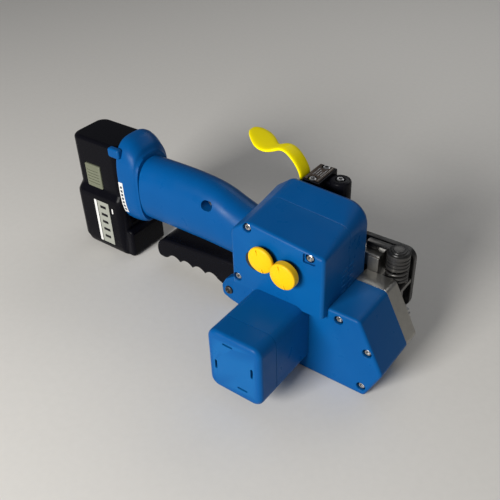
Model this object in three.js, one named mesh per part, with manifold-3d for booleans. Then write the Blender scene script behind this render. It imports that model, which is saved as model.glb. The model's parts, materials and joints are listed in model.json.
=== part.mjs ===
// Battery strapping tool: a hand-held machine that tensions, friction-welds and cuts plastic strap.
// Millimetres, +Z up, +X towards the nose, +Y towards the open strap side.
// The parts are laid out round a working origin on the resting plane, at the foot of the main
// cover's near front edge, and the finished tool is then centred over the origin of the part.
import * as THREE from "three";
import { mergeVertices } from "three/addons/utils/BufferGeometryUtils.js";
import Module from "manifold-3d";

const wasm = await Module();
wasm.setup();

// ---------------------------------------------------------------- driving dimensions
const GAP = 0.3; // clearance between touching parts
const WALL = 2.5; // wall of the moulded covers
const WELD = 0.5; // how far joined pieces run into each other

const COVER = { rear: -87.5, front: 0, near: 0, crease: 39, far: 70, bottom: 70 };
const COVER_TOP = { near: [135.5, 127.5], crease: [139, 133.5], far: [143, 139.5] }; // rear, front
const COVER_CHAMFER = { run: 17, drop: 13 }; // rear top corner

const FRAME = { near: 51.8, far: 68.6, rear: -74, top: 76.6, nose: 51 };
const NOSE = { topCorner: 27.9, tipHeight: 30.3, footCorner: 36.8 };
const GEAR_COVER_NEAR = 7.2;

const MOTOR = { x: -41.5, z: 43, radius: 20.5, near: -53 };
const MOTOR_BOX = { rear: -67.8, front: -16.5, bottom: 12.6, top: 73, near: -60, corner: 9 };

const IDLER = { x: -10, z: 40, large: 23.4, small: 13.6, shaft: 4 };
const FEED = { x: 20, z: 26, gear: 18.6, wheel: 17, shaft: 5, near: 75.3, far: 88 };
const ECCENTRIC = { x: -55, z: 24, shaft: 4.5, head: 5, offset: 0.5 };
const BELT = { near: 38.5, far: 45.5, thick: 1.5, motorPulley: 8, weldPulley: 6.5 };
const GEAR_LARGE_Y = [24, 30];
const GEAR_SMALL_Y = [42, 50];

const BASE = { rear: -92, front: 36, near: 68.9, far: 97, thick: 8 };
const SIDE_PLATE = { rear: -22, front: 33, near: 89.3, far: 95, bottom: 33, top: 94.5, corner: 10 };
const SPRING = { x: 23, y: 79, bottom: 68, top: 95.4, radius: 8.6, wire: 1.3, turns: 7 };

const SEALER = { rear: -66, front: -49, near: 71.5, far: 101, bottom: 60, top: 141 };
const LOBE = { x: -40, y: 90, radius: 9.5, top: 139 };
const CAM = { x: -73, z: 112, radius: 7.5, offset: 7.1, near: 75, far: 89 };

const HANDLE = { y: 62, front: -88.2, rear: -231, wall: 2.6, middle: 81.5 };
const COLLAR = { front: -231.3, rear: -257, y: 66, z: 88 };
const BATTERY = { rear: -323, front: -257.3, foot: -251, shoulder: 68, top: 126, corner: 9 };
const BATTERY_LOWER = { near: 37, far: 91 };
const BATTERY_UPPER = { near: 42, far: 87 };
const LATCH = { rear: -305, front: -284, bottom: 72, top: 98, stand: 1.2 };

const LEVER = { near: 45, far: 79, pivotX: -122, pivotZ: 20 };
const HANDLE_SCREW = { x: -149, y: 50, z: 99 };
const BUTTON = { radius: 11.6, thick: 4.5, stem: 5 };
const BUTTON_SITES = { tension: [-53.5, 109.3, -9], weld: [-30.6, 105.5, -12.5] }; // x, z, face y
const SWITCH = { face: 24, back: 33.7, travel: 4.5 };

const COVER_SCREWS = [[-70.5, 129.6], [-13.6, 122.8], [-82.2, 76.6]]; // x, z
const GEAR_COVER_SCREWS = [[10, 69], [36.4, 47.6], [33.6, 9.4]]; // x, z
const SEALER_SCREWS = [[-58, 75.5, SEALER.top], [-58, 97.5, SEALER.top], [LOBE.x, LOBE.y, LOBE.top]];
const SCREW = { head: 3.1, shank: 1.5, depth: 3, length: 11 };

// ---------------------------------------------------------------- materials
const finish = (color, roughness, metalness) =>
  new THREE.MeshStandardMaterial({ color, roughness, metalness });
const blue = finish(0x123f83, 0.42, 0);
const black = finish(0x0c0c0e, 0.35, 0);
const rubber = finish(0x17171a, 0.75, 0);
const yellow = finish(0xf7d90b, 0.4, 0);
const amber = finish(0xf5a80c, 0.4, 0);
const aluminium = finish(0xb3b1ab, 0.35, 1);
const steel = finish(0x8d8f92, 0.3, 1);
const blackSteel = finish(0x1a1a1c, 0.45, 0.7);
const board = finish(0x1d5b33, 0.6, 0);
const grey = finish(0x8e938c, 0.5, 0);
const cellWrap = finish(0x2f6aa8, 0.4, 0);

// ---------------------------------------------------------------- solids
// A closed geometry as a manifold solid, turned outwards if its faces point in.
function solid(geometry) {
  const bare = geometry.clone();
  bare.deleteAttribute("normal");
  bare.deleteAttribute("uv");
  const merged = mergeVertices(bare, 1e-4);
  const points = merged.attributes.position.array;
  const triangles = new Uint32Array(merged.index.array);
  if (signedVolume(points, triangles) < 0) triangles.reverse();
  return new wasm.Manifold(
    new wasm.Mesh({ numProp: 3, vertProperties: points, triVerts: triangles }),
  );
}

function signedVolume(points, triangles) {
  const corner = (i) => new THREE.Vector3().fromArray(points, 3 * triangles[i]);
  let total = 0;
  for (let i = 0; i < triangles.length; i += 3) {
    total += corner(i).dot(corner(i + 1).cross(corner(i + 2)));
  }
  return total / 6;
}

function named(name, material, body) {
  const made = body.getMesh();
  const geometry = new THREE.BufferGeometry();
  geometry.setAttribute("position", new THREE.BufferAttribute(made.vertProperties, 3));
  geometry.setIndex(new THREE.BufferAttribute(made.triVerts, 1));
  geometry.computeVertexNormals();
  const mesh = new THREE.Mesh(geometry, material.clone());
  mesh.name = name;
  return mesh;
}

const join = (...bodies) => bodies.reduce((a, b) => a.add(b));
const cut = (body, ...tools) => tools.reduce((a, b) => a.subtract(b), body);

function box([x0, x1], [y0, y1], [z0, z1]) {
  const geometry = new THREE.BoxGeometry(x1 - x0, y1 - y0, z1 - z0);
  geometry.translate((x0 + x1) / 2, (y0 + y1) / 2, (z0 + z1) / 2);
  return solid(geometry);
}

// Cylinders along each axis, between two stations.
function rodY(x, z, radius, y0, y1, sides = 20) {
  const geometry = new THREE.CylinderGeometry(radius, radius, y1 - y0, sides);
  return solid(geometry.translate(x, (y0 + y1) / 2, z));
}

function rodZ(x, y, radius, z0, z1, sides = 20) {
  const geometry = new THREE.CylinderGeometry(radius, radius, z1 - z0, sides);
  return solid(geometry.rotateX(Math.PI / 2).translate(x, y, (z0 + z1) / 2));
}

function rodX(y, z, radius, x0, x1, sides = 12) {
  const geometry = new THREE.CylinderGeometry(radius, radius, x1 - x0, sides);
  return solid(geometry.rotateZ(Math.PI / 2).translate((x0 + x1) / 2, y, z));
}

// A flat outline in X and Z, given thickness along Y.
function plateY(outline, y0, y1) {
  const shape = new THREE.Shape(outline.map(([x, z]) => new THREE.Vector2(x, z)));
  const geometry = new THREE.ExtrudeGeometry(shape, { depth: y1 - y0, bevelEnabled: false });
  return solid(geometry.rotateX(Math.PI / 2).translate(0, y1, 0));
}

// Rings of equal count skinned into one closed body, each end closed by a fan.
function loft(rings) {
  const count = rings[0].length;
  const points = rings.flat();
  const triangles = [];
  for (let r = 0; r + 1 < rings.length; r++) {
    for (let i = 0; i < count; i++) {
      const a = r * count + i;
      const b = r * count + ((i + 1) % count);
      triangles.push(a, b, b + count, a, b + count, a + count);
    }
  }
  const closeEnd = (first, forward) => {
    const middle = [0, 0, 0];
    for (let i = 0; i < count; i++) {
      for (let axis = 0; axis < 3; axis++) middle[axis] += points[first + i][axis] / count;
    }
    points.push(middle);
    for (let i = 0; i < count; i++) {
      const edge = [first + i, first + ((i + 1) % count)];
      if (forward) edge.reverse();
      triangles.push(...edge, points.length - 1);
    }
  };
  const lastRing = (rings.length - 1) * count;
  closeEnd(0, true);
  closeEnd(lastRing, false);
  const geometry = new THREE.BufferGeometry();
  geometry.setAttribute("position", new THREE.Float32BufferAttribute(points.flat(), 3));
  geometry.setIndex(triangles);
  return solid(geometry);
}

// A polygon moved inwards by inset, with each corner turned into an arc.
function roundedOutline(corners, radius, inset = 0, steps = 4) {
  const count = corners.length;
  const area = corners.reduce((sum, [x, z], i) => {
    const [nextX, nextZ] = corners[(i + 1) % count];
    return sum + x * nextZ - nextX * z;
  }, 0);
  const side = Math.sign(area);
  const points = [];
  corners.forEach((corner, i) => {
    const here = new THREE.Vector2(...corner);
    const before = new THREE.Vector2(...corners[(i + count - 1) % count]).sub(here).normalize();
    const after = new THREE.Vector2(...corners[(i + 1) % count]).sub(here).normalize();
    const bisector = before.clone().add(after).normalize();
    const halfAngle = Math.acos(THREE.MathUtils.clamp(bisector.dot(after), -1, 1));
    const convex = Math.sign(after.cross(before)) === side;
    const turn = convex ? 1 : -1;
    const middle = here.clone().addScaledVector(bisector, (turn * inset) / Math.sin(halfAngle));
    const cornerRadius = Math.max(radius - turn * inset, 0.4);
    const centre = middle.clone().addScaledVector(bisector, cornerRadius / Math.sin(halfAngle));
    const start = bisector.clone().negate().angle();
    const sweep = (turn * side * (Math.PI - 2 * halfAngle)) / 2;
    for (let s = 0; s <= steps; s++) {
      const angle = start + sweep * ((2 * s) / steps - 1);
      points.push([
        centre.x + cornerRadius * Math.cos(angle),
        centre.y + cornerRadius * Math.sin(angle),
      ]);
    }
  });
  return points;
}

const ringAtY = (outline, y) => outline.map(([x, z]) => [x, y, z]);

// A block with its outline in X and Z whose near edge is rolled over by the given radius.
function pillow(corners, radius, y0, y1, roll, steps = 3) {
  const rings = [];
  for (let s = 0; s <= steps; s++) {
    const angle = (s / steps) * (Math.PI / 2);
    const inset = roll * (1 - Math.sin(angle));
    rings.push(ringAtY(roundedOutline(corners, radius, inset), y0 + roll * (1 - Math.cos(angle))));
  }
  rings.push(ringAtY(roundedOutline(corners, radius), y1));
  return loft(rings);
}

// An oval ring across the handle; a higher power makes it squarer.
function ovalRing(x, y, halfWidth, bottom, top, power = 2.3, sides = 24) {
  const round = (value) => Math.sign(value) * Math.abs(value) ** (2 / power);
  const points = [];
  for (let i = 0; i < sides; i++) {
    const angle = (i / sides) * 2 * Math.PI;
    points.push([
      x,
      y + halfWidth * round(Math.cos(angle)),
      (bottom + top) / 2 + ((top - bottom) / 2) * round(Math.sin(angle)),
    ]);
  }
  return points;
}

const rectangle = ([x0, x1], [z0, z1]) => [[x0, z0], [x1, z0], [x1, z1], [x0, z1]];

// A wheel along Y with straight-sided teeth and a bore.
function toothedWheel(x, z, tip, depth, teeth, [y0, y1], bore) {
  const outline = [];
  for (let i = 0; i < 4 * teeth; i++) {
    const angle = (i / (4 * teeth)) * 2 * Math.PI;
    const radius = i % 4 < 2 ? tip : tip - depth;
    outline.push([x + radius * Math.cos(angle), z + radius * Math.sin(angle)]);
  }
  const wheel = plateY(outline, y0, y1);
  return bore ? cut(wheel, rodY(x, z, bore, y0 - 1, y1 + 1, 16)) : wheel;
}

// ---------------------------------------------------------------- screws
// Cheese-head screw pointing along +Y, head face at y.
function screwY(name, x, z, y) {
  const head = rodY(x, z, SCREW.head, y, y + SCREW.depth, 12);
  const shank = rodY(x, z, SCREW.shank, y + WELD, y + SCREW.length, 8);
  const socket = rodY(x, z, 1.3, y - 1, y + 1.4, 6);
  return named(name, steel, cut(join(head, shank), socket));
}

// Bore for such a screw: a clearance hole with a counterbore for the head.
function screwBoreY(x, z, y, mouth) {
  const seat = rodY(x, z, SCREW.head + 0.9, mouth, y + SCREW.depth + GAP, 16);
  return join(seat, rodY(x, z, SCREW.shank + GAP, y, y + SCREW.length + 1, 8));
}

// ---------------------------------------------------------------- frame and base
function wedgeCorners(rear, bottom) {
  return [
    [rear, bottom],
    [NOSE.footCorner, bottom],
    [FRAME.nose, NOSE.tipHeight],
    [NOSE.topCorner, FRAME.top],
    [rear, FRAME.top],
  ];
}

// Space under the main cover: the wedge steps down there.
const underCover = (clear) =>
  box([-200, COVER.front + clear], [-20, 120], [COVER.bottom - clear, 120]);

function mainFrame() {
  const block = plateY(roundedOutline(wedgeCorners(FRAME.rear, 0), 5), FRAME.near, FRAME.far);
  const linkGroove = box([FRAME.rear - 5, 4], [FRAME.near - 1, 58.6], [25, 38]);
  const hubPocket = rodY(IDLER.x, IDLER.z, 14, FRAME.near - 1, 58.6);
  const hubBore = rodY(IDLER.x, IDLER.z, 9.6, FRAME.near - 1, FRAME.far + 1);
  const feedWindow = rodY(FEED.x + 1, FEED.z + 2.2, 8.6, FRAME.near - 1, FRAME.far + 1);
  const eccentricBore = rodY(ECCENTRIC.x, ECCENTRIC.z, 6, FRAME.near - 1, FRAME.far + 1);
  return cut(block, underCover(GAP), linkGroove, hubPocket, hubBore, feedWindow, eccentricBore);
}

// Plate that lies on the package and carries the strap.
function basePlate() {
  const plate = plateY(
    [
      [BASE.rear, 0],
      [BASE.front - 8, 0],
      [BASE.front, 3],
      [BASE.front, BASE.thick],
      [BASE.rear, BASE.thick],
    ],
    BASE.near,
    BASE.far,
  );
  const insertPocket = box([9.7, 30.3], [74.7, 88.6], [4.4, 20]);
  const footPad = box([BASE.rear, -68], [BASE.near, BASE.far], [BASE.thick - WELD, 12]);
  return cut(join(plate, footPad), insertPocket);
}

// Hardened insert whose teeth grip the lower strap under the feed wheel.
function gripperInsert() {
  let body = box([10, 30], [75, 88.3], [4.7, 8]);
  for (let x = 11.5; x < 29; x += 2.5) {
    const ridge = plateY([[x, 7.8], [x + 2, 7.8], [x + 1, 8.6]], 75.4, 87.9);
    body = join(body, ridge);
  }
  return body;
}

// Machined block that holds the side plate and the spring cap off the frame.
function bearingBlock() {
  const foot = box([0.6, 10.5], [BASE.near, SIDE_PLATE.near - GAP], [67, 90]);
  const head = box([-9, 10.5], [COVER.far + 0.6, SIDE_PLATE.near - GAP], [79, 91.5]);
  return join(foot, head);
}

function sidePlate() {
  const { rear, front, near, far, bottom, top, corner } = SIDE_PLATE;
  const outline = roundedOutline(rectangle([rear, front], [bottom, top]), corner, 0, 5);
  const shaftBore = rodY(IDLER.x, IDLER.z, IDLER.shaft + GAP, near - 1, far + 1);
  const window = plateY(roundedOutline(rectangle([6, 24], [46, 66]), 4), near - 1, far + 1);
  return cut(plateY(outline, near, far), shaftBore, window);
}

// ---------------------------------------------------------------- covers
function coverRing(y, [topRear, topFront], rear, front, bottom, radius, inset) {
  const corners = [
    [rear, bottom],
    [front, bottom],
    [front, topFront],
    [rear + COVER_CHAMFER.run, topRear],
    [rear, topRear - COVER_CHAMFER.drop],
  ];
  return ringAtY(roundedOutline(corners, radius, inset), y);
}

function coverBody(wall, bottom) {
  const { rear, front, near, crease, far } = COVER;
  const ring = (y, top, radius, inset) =>
    coverRing(y, top, rear, front, bottom, radius, inset + wall);
  return loft([
    ring(near + wall, COVER_TOP.near, 3, 2.5),
    ring(near + wall + 1, COVER_TOP.near, 3.5, 0.8),
    ring(near + wall + 3, COVER_TOP.near, 4, 0),
    ring(crease, COVER_TOP.crease, 7, 0),
    ring(far - wall - 9, COVER_TOP.far, 12, 0),
    ring(far - wall - 2.5, COVER_TOP.far, 12, 1.8),
    ring(far - wall, COVER_TOP.far, 12, 6),
  ]);
}

function mainCover() {
  const floorTrim = box([-120, 20], [-20, 120], [0, COVER.bottom]);
  const outer = cut(coverBody(0, COVER.bottom - 12), floorTrim);
  let shell = cut(outer, coverBody(WALL, COVER.bottom - 20));
  COVER_SCREWS.forEach(([x, z]) => {
    const boss = rodY(x, z, 5.6, COVER.near + 1.5, 16, 16).intersect(outer);
    shell = join(shell, boss);
  });
  COVER_SCREWS.forEach(([x, z]) => {
    shell = cut(shell, screwBoreY(x, z, COVER.near + 1.6, -2));
  });
  Object.values(BUTTON_SITES).forEach(([x, z]) => {
    shell = cut(shell, rodY(x, z, 6, -2, 6));
  });
  return shell;
}

function gearCover() {
  const corners = wedgeCorners(FRAME.rear, GAP);
  const back = FRAME.near - GAP;
  const outer = cut(pillow(corners, 5, GEAR_COVER_NEAR, back, 3), underCover(GAP));
  const innerCorners = roundedOutline(corners, 4, WALL);
  const inner = cut(
    loft([ringAtY(innerCorners, GEAR_COVER_NEAR + WALL), ringAtY(innerCorners, back + 5)]),
    underCover(GAP + WALL),
  );
  let shell = cut(outer, inner);
  GEAR_COVER_SCREWS.forEach(([x, z]) => {
    const boss = rodY(x, z, 5.4, GEAR_COVER_NEAR + 1.5, GEAR_COVER_NEAR + 15, 14);
    shell = join(shell, boss.intersect(outer));
  });
  GEAR_COVER_SCREWS.forEach(([x, z]) => {
    shell = cut(shell, screwBoreY(x, z, GEAR_COVER_NEAR + 1.8, 0));
  });
  return cut(shell, rodY(MOTOR.x, MOTOR.z, 5, 0, 20));
}

function motorHousing() {
  const { rear, front, bottom, top, near, corner } = MOTOR_BOX;
  const corners = rectangle([rear, front], [bottom, top]);
  const back = GEAR_COVER_NEAR - GAP;
  const outer = pillow(corners, corner, near, back, 4);
  const innerOutline = roundedOutline(corners, corner, WALL);
  const inner = loft([ringAtY(innerOutline, near + WALL), ringAtY(innerOutline, back + 5)]);
  const coverRelief = box([-120, 20], [-GAP, 30], [COVER.bottom - GAP, 100]);
  const slots = [
    box([-52, -42.5], [near - 1, near + 5], [63, 65]),
    box([-61, -59], [near - 1, near + 5], [33.5, 43]),
    box([-26, -24], [near - 1, near + 5], [42, 51.5]),
    box([-39.5, -30], [near - 1, near + 5], [23, 25]),
  ];
  return cut(outer, inner, coverRelief, ...slots);
}

// ---------------------------------------------------------------- drive
function motorCan() {
  const can = rodY(MOTOR.x, MOTOR.z, MOTOR.radius, MOTOR.near, 2, 28);
  const nose = rodY(MOTOR.x, MOTOR.z, 8, 2 - WELD, 6.6, 16);
  return cut(join(can, nose), rodY(MOTOR.x, MOTOR.z, 3.8, MOTOR.near - 1, 8, 12));
}

function motorShaft() {
  return join(
    rodY(MOTOR.x, MOTOR.z, 3.4, MOTOR.near - 1, 50, 12),
    toothedWheel(MOTOR.x, MOTOR.z, 7.4, 1.6, 9, GEAR_LARGE_Y),
    rodY(MOTOR.x, MOTOR.z, BELT.motorPulley, BELT.near - 1, BELT.far + 1, 20),
  );
}

function idlerGear() {
  const { x, z, large, small, shaft } = IDLER;
  const body = join(
    toothedWheel(x, z, large, 2, 28, GEAR_LARGE_Y),
    toothedWheel(x, z, small, 1.8, 16, GEAR_SMALL_Y),
    rodY(x, z, 7, GEAR_LARGE_Y[0] - 2, GEAR_SMALL_Y[1] + 1, 16),
  );
  return cut(body, rodY(x, z, shaft + GAP, 10, 60, 16));
}

function feedShaft() {
  return join(
    rodY(FEED.x, FEED.z, FEED.shaft, 28, FEED.far + 0.8, 16),
    toothedWheel(FEED.x, FEED.z, FEED.gear, 1.8, 22, GEAR_SMALL_Y),
  );
}

// Eccentric journal that shakes the weld shoe, with its belt pulley.
function eccentricShaft() {
  const { x, z, shaft, head, offset } = ECCENTRIC;
  return join(
    rodY(x, z, shaft, 20, 70, 14),
    rodY(x, z, BELT.weldPulley, BELT.near - 1, BELT.far + 1, 18),
    rodY(x + offset, z, head, 69.4, 84, 14),
  );
}

// Belt loop round the two pulleys: two arcs joined by their common tangents.
function driveBelt() {
  const from = new THREE.Vector2(MOTOR.x, MOTOR.z);
  const to = new THREE.Vector2(ECCENTRIC.x, ECCENTRIC.z);
  const along = to.clone().sub(from);
  const lead = Math.acos((BELT.motorPulley - BELT.weldPulley) / along.length());
  const loop = (extra) => {
    const points = [];
    const arc = (centre, radius, start, end) => {
      for (let s = 0; s <= 8; s++) {
        const angle = start + ((end - start) * s) / 8;
        points.push([centre.x + radius * Math.cos(angle), centre.y + radius * Math.sin(angle)]);
      }
    };
    const heading = along.angle();
    arc(to, BELT.weldPulley + extra, heading - lead, heading + lead);
    arc(from, BELT.motorPulley + extra, heading + lead, heading + 2 * Math.PI - lead);
    return points;
  };
  const outer = plateY(loop(GAP + BELT.thick), BELT.near, BELT.far);
  return cut(outer, plateY(loop(GAP), BELT.near - 1, BELT.far + 1));
}

// ---------------------------------------------------------------- rocker and release
const ROCKER_ARM_Y = [69.2, 74];
const ROCKER_TAIL = { rear: 9, drop: 13 };
const LINK_Y = [53, 57.6];

function rocker() {
  const [armNear, armFar] = ROCKER_ARM_Y;
  const pivotBoss = rodY(IDLER.x, IDLER.z, 11, armNear, armFar);
  const wheelBoss = rodY(FEED.x, FEED.z, 10, armNear, armFar);
  const arm = plateY([[-13, 30], [20, 16.5], [29, 30], [20, 36], [-7, 50]], armNear, armFar);
  const horn = plateY([[14, 30], [29, 26], [32.6, 58], [32.6, 67], [16, 67], [16, 60]], armNear, armFar);
  const seat = box([16, 32.6], [armNear, SIDE_PLATE.near - 1], [63.4, 67]);
  const hub = rodY(IDLER.x, IDLER.z, 9, 53, armFar);
  const tail = box(
    [IDLER.x - ROCKER_TAIL.rear, IDLER.x + 5],
    LINK_Y,
    [IDLER.z - ROCKER_TAIL.drop, IDLER.z],
  );
  const body = join(pivotBoss, wheelBoss, arm, horn, seat, hub, tail);
  const pivotBore = rodY(IDLER.x, IDLER.z, IDLER.shaft + GAP, 50, 80, 16);
  return cut(body, pivotBore, rodY(FEED.x, FEED.z, FEED.shaft + GAP, 60, 80, 16));
}

// Flat push link between the finger lever's root and the rocker's tail.
function releaseLink() {
  return box([-115.6, IDLER.x - ROCKER_TAIL.rear - 1.8], LINK_Y, [29, 33.5]);
}

function feedWheel() {
  return toothedWheel(FEED.x, FEED.z, FEED.wheel, 0.7, 24, [FEED.near, FEED.far], FEED.shaft + GAP);
}

function rockerSpring() {
  const { x, y, bottom, top, radius, wire, turns } = SPRING;
  class Helix extends THREE.Curve {
    getPoint(t, target = new THREE.Vector3()) {
      const angle = t * turns * 2 * Math.PI;
      const height = bottom + wire + (top - bottom - 2 * wire) * t;
      return target.set(x + radius * Math.cos(angle), y + radius * Math.sin(angle), height);
    }
  }
  const section = new THREE.Shape();
  for (let i = 0; i < 6; i++) {
    const angle = (i / 6) * 2 * Math.PI;
    const point = [wire * Math.cos(angle), wire * Math.sin(angle)];
    if (i === 0) section.moveTo(...point);
    else section.lineTo(...point);
  }
  const geometry = new THREE.ExtrudeGeometry(section, {
    steps: 11 * turns,
    extrudePath: new Helix(),
    bevelEnabled: false,
  });
  return solid(geometry);
}

function springCap() {
  const { x, y, top } = SPRING;
  const cap = rodZ(x, y, 9.8, top + GAP, top + 3.4, 24);
  const arm = box([-6, x], [y - 5, y + 5], [top + 0.6, top + 3.4]);
  const foot = box([-6, 4], [y - 5, y + 5], [92, top + 1]);
  return join(cap, arm, foot);
}

// ---------------------------------------------------------------- weld press
function sealerHousing() {
  const { rear, front, near, far, bottom, top } = SEALER;
  const block = box([rear, front], [near, far], [bottom, top]);
  const lobe = rodZ(LOBE.x, LOBE.y, LOBE.radius, bottom, LOBE.top, 24);
  const web = box([front - WELD, LOBE.x], [LOBE.y - 8.5, LOBE.y + 8.5], [bottom, LOBE.top - 2]);
  const cheek = (y0, y1) => box([CAM.x - 6, rear + WELD], [y0, y1], [CAM.z - 10, CAM.z + 6]);
  const cheeks = join(cheek(near, CAM.near - GAP), cheek(CAM.far + GAP, far - 3));
  const channel = box([-63.2, -51.8], [76.6, 92.4], [bottom - 1, CAM.z]);
  const armWindow = box([rear - 1, -62], [CAM.near + 1.6, CAM.far - GAP], [CAM.z - 26, CAM.z - 5]);
  const pinBore = rodY(CAM.x, CAM.z, 3 + GAP, near - 1, far + 1, 12);
  const body = cut(join(block, lobe, web, cheeks), channel, armWindow, pinBore);
  return cut(
    body,
    ...SEALER_SCREWS.map(([x, y, z]) =>
      join(
        rodZ(x, y, SCREW.head + GAP, z - SCREW.depth + 1, z + 2, 12),
        rodZ(x, y, SCREW.shank + GAP, z - 9, z, 8),
      ),
    ),
  );
}

// Blank foil plate, notched round the two screws.
function nameplate() {
  const { rear, front, near, far, top } = SEALER;
  const foil = box([rear + 1.4, front - 1.6], [near + 1.6, far - 1.6], [top + GAP, top + 0.9]);
  const notches = SEALER_SCREWS.slice(0, 2).map(([x, y]) => rodZ(x, y, 4.2, top - 1, top + 2, 20));
  return cut(foil, ...notches);
}

function pressColumn() {
  const column = box([-62.9, -52.1], [77, 92], [34, CAM.z - 10]);
  const followerTop = CAM.z - CAM.radius - GAP;
  const follower = box([CAM.x - 13, -62], [CAM.near + 2.2, CAM.far - 1], [CAM.z - 17, followerTop]);
  return join(column, follower);
}

// Forked shoe that rubs the upper strap: the eccentric runs in its slot.
function weldShoe() {
  const block = box([-64, -46], [70.6, 89], [12, 33.7]);
  const slot = box([-61, -49], [69, 85], [17, 40]);
  return cut(block, slot);
}

function cutterBlade() {
  const shank = box([-44.6, -42], [74, 90], [22, 58]);
  const edge = plateY([[-44.6, 22.5], [-42, 22.5], [-44.6, 13]], 74, 90);
  return join(shank, edge);
}

// Thumb lever: eccentric cam disc round its pin, rising strap, narrow neck and oval pad.
function weldLever() {
  const disc = rodY(CAM.x - CAM.offset, CAM.z, CAM.radius, CAM.near, CAM.far, 24);
  const eye = rodY(CAM.x, CAM.z, 6, CAM.near, CAM.far, 20);
  const web = box([CAM.x - CAM.offset, CAM.x], [CAM.near, CAM.far], [CAM.z - 6, CAM.z + 6]);
  const strap = loft([
    strapRing(-72.5, 82, CAM.z + 2, 6.8, 2.4, 88),
    strapRing(-70, 81.5, 126, 7, 2, 86),
    strapRing(-68.5, 81, 136, 7.3, 1.6, 82),
    strapRing(-69, 80.6, 142.5, 7.4, 1.6, 64),
    strapRing(-73, 80.4, 149.8, 7.4, 1.6, 54),
    strapRing(-78, 80.3, 155.6, 7.4, 1.6, 42),
    strapRing(-82.5, 80.2, 159, 7.2, 1.6, 28),
    strapRing(-87.3, 79.8, 160.4, 6.6, 1.6, 6),
    strapRing(-91.5, 79, 159.4, 5.6, 1.7, -20),
    strapRing(-95.5, 78.4, 157.4, 5.4, 1.8, -20),
    strapRing(-100.5, 78.8, 156.4, 9, 1.9, -4),
    strapRing(-106, 81.2, 156.4, 12, 2, 0),
    strapRing(-112, 84, 156.8, 13.4, 2, 4),
    strapRing(-118, 87, 157.2, 12.8, 2, 4),
    strapRing(-124.5, 90.6, 157.7, 10.6, 2, 4),
    strapRing(-130, 92.8, 158, 7.6, 1.8, 4),
    strapRing(-134.5, 94.6, 158.2, 3, 1, 4),
  ]);
  const bore = rodY(CAM.x, CAM.z, 3 + GAP, CAM.near - 1, CAM.far + 1, 12);
  return cut(join(disc, eye, web, strap), bore);
}

// Flat oval section of the thumb lever, across Y, tipped by pitch degrees about Y.
function strapRing(x, y, z, halfWidth, halfThick, pitch) {
  const tilt = THREE.MathUtils.degToRad(pitch);
  const ring = [];
  for (let i = 0; i < 12; i++) {
    const angle = (i / 12) * 2 * Math.PI;
    const across = halfWidth * Math.cos(angle);
    const up = halfThick * Math.sin(angle);
    ring.push([x + up * Math.sin(tilt), y + across, z + up * Math.cos(tilt)]);
  }
  return ring;
}

// ---------------------------------------------------------------- handle and finger lever
const HANDLE_STATIONS = [
  // x, half width, bottom, top
  [HANDLE.front, 22.5, 47, 113],
  [-93, 21.5, 47.5, 104.5],
  [-101, 21, 48, 99.5],
  [-112, 21, 48.5, 99.8],
  [-126, 21, 49, 105],
  [-142, 21, 49.5, 111.5],
  [-160, 21, 50, 115],
  [-184, 21, 50, 116.5],
  [-208, 21, 50, 116.5],
  [HANDLE.rear, 21.5, 50, 116],
];

function handleLoft(inset, extra) {
  const rings = HANDLE_STATIONS.map(([x, halfWidth, bottom, top]) =>
    ovalRing(x, HANDLE.y, halfWidth - inset, bottom + inset, top - inset),
  );
  rings[0].forEach((point) => (point[0] -= inset));
  rings[rings.length - 1].forEach((point) => (point[0] -= extra));
  return loft(rings);
}

function handleHalf(side) {
  const span = side < 0 ? [20, HANDLE.y - GAP / 2] : [HANDLE.y + GAP / 2, 110];
  let shell = cut(handleLoft(0, 0), handleLoft(HANDLE.wall, 6));
  const boss = rodY(HANDLE_SCREW.x, HANDLE_SCREW.z, 5, 38, 90, 14);
  shell = join(shell, boss.intersect(handleLoft(0.5, 0)));
  shell = cut(shell, screwBoreY(HANDLE_SCREW.x, HANDLE_SCREW.z, HANDLE_SCREW.y, 30));
  return shell.intersect(box([-300, 0], span, [0, 200]));
}

// Flared socket ring at the end of the grip that the battery slides into.
function handleCollar() {
  const ring = (x, halfWidth, halfHeight, y, z, power = 3) =>
    ovalRing(x, y, halfWidth, z - halfHeight, z + halfHeight, power);
  const outer = loft([
    ring(COLLAR.front, 22.6, 35.5, 62.5, 83.5),
    ring(-234, 23.4, 38, 63, 84.5),
    ring(-239, 25.4, 42, 64.2, 86),
    ring(-245, 27, 45, 65.4, 87.4),
    ring(-251, 27.6, 46, COLLAR.y, COLLAR.z),
    ring(COLLAR.rear, 27.2, 45.6, COLLAR.y, COLLAR.z),
  ]);
  const boreAt = (x) => ring(x, 17.5, 29, HANDLE.y, HANDLE.middle, 2.5);
  const bore = loft([boreAt(COLLAR.front + 5), boreAt(COLLAR.rear - 5)]);
  return cut(outer, bore);
}

function fingerLever() {
  const { near, far, pivotX, pivotZ } = LEVER;
  const shape = new THREE.Shape();
  shape.moveTo(-117, 43.5);
  shape.lineTo(-160, 41.5);
  shape.lineTo(-203, 38);
  shape.quadraticCurveTo(-220, 37, -221.5, 24);
  shape.quadraticCurveTo(-222, 14, -216, 14);
  shape.quadraticCurveTo(-211, 13, -208, 15.5);
  const scallop = 16;
  for (let i = 0; i < 4; i++) {
    const x = -208 + scallop * i;
    shape.quadraticCurveTo(x + scallop / 2, 24, x + scallop, 15.5);
  }
  shape.lineTo(-135, 11.5);
  shape.lineTo(pivotX - 4, pivotZ - 9);
  shape.lineTo(pivotX + 7, pivotZ - 6);
  const geometry = new THREE.ExtrudeGeometry(shape, {
    depth: far - near,
    bevelEnabled: false,
    curveSegments: 4,
  });
  const body = solid(geometry.rotateX(Math.PI / 2).translate(0, far, 0));
  return cut(body, rodY(pivotX, pivotZ, 4 + GAP, near - 1, far + 1, 16));
}

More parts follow.
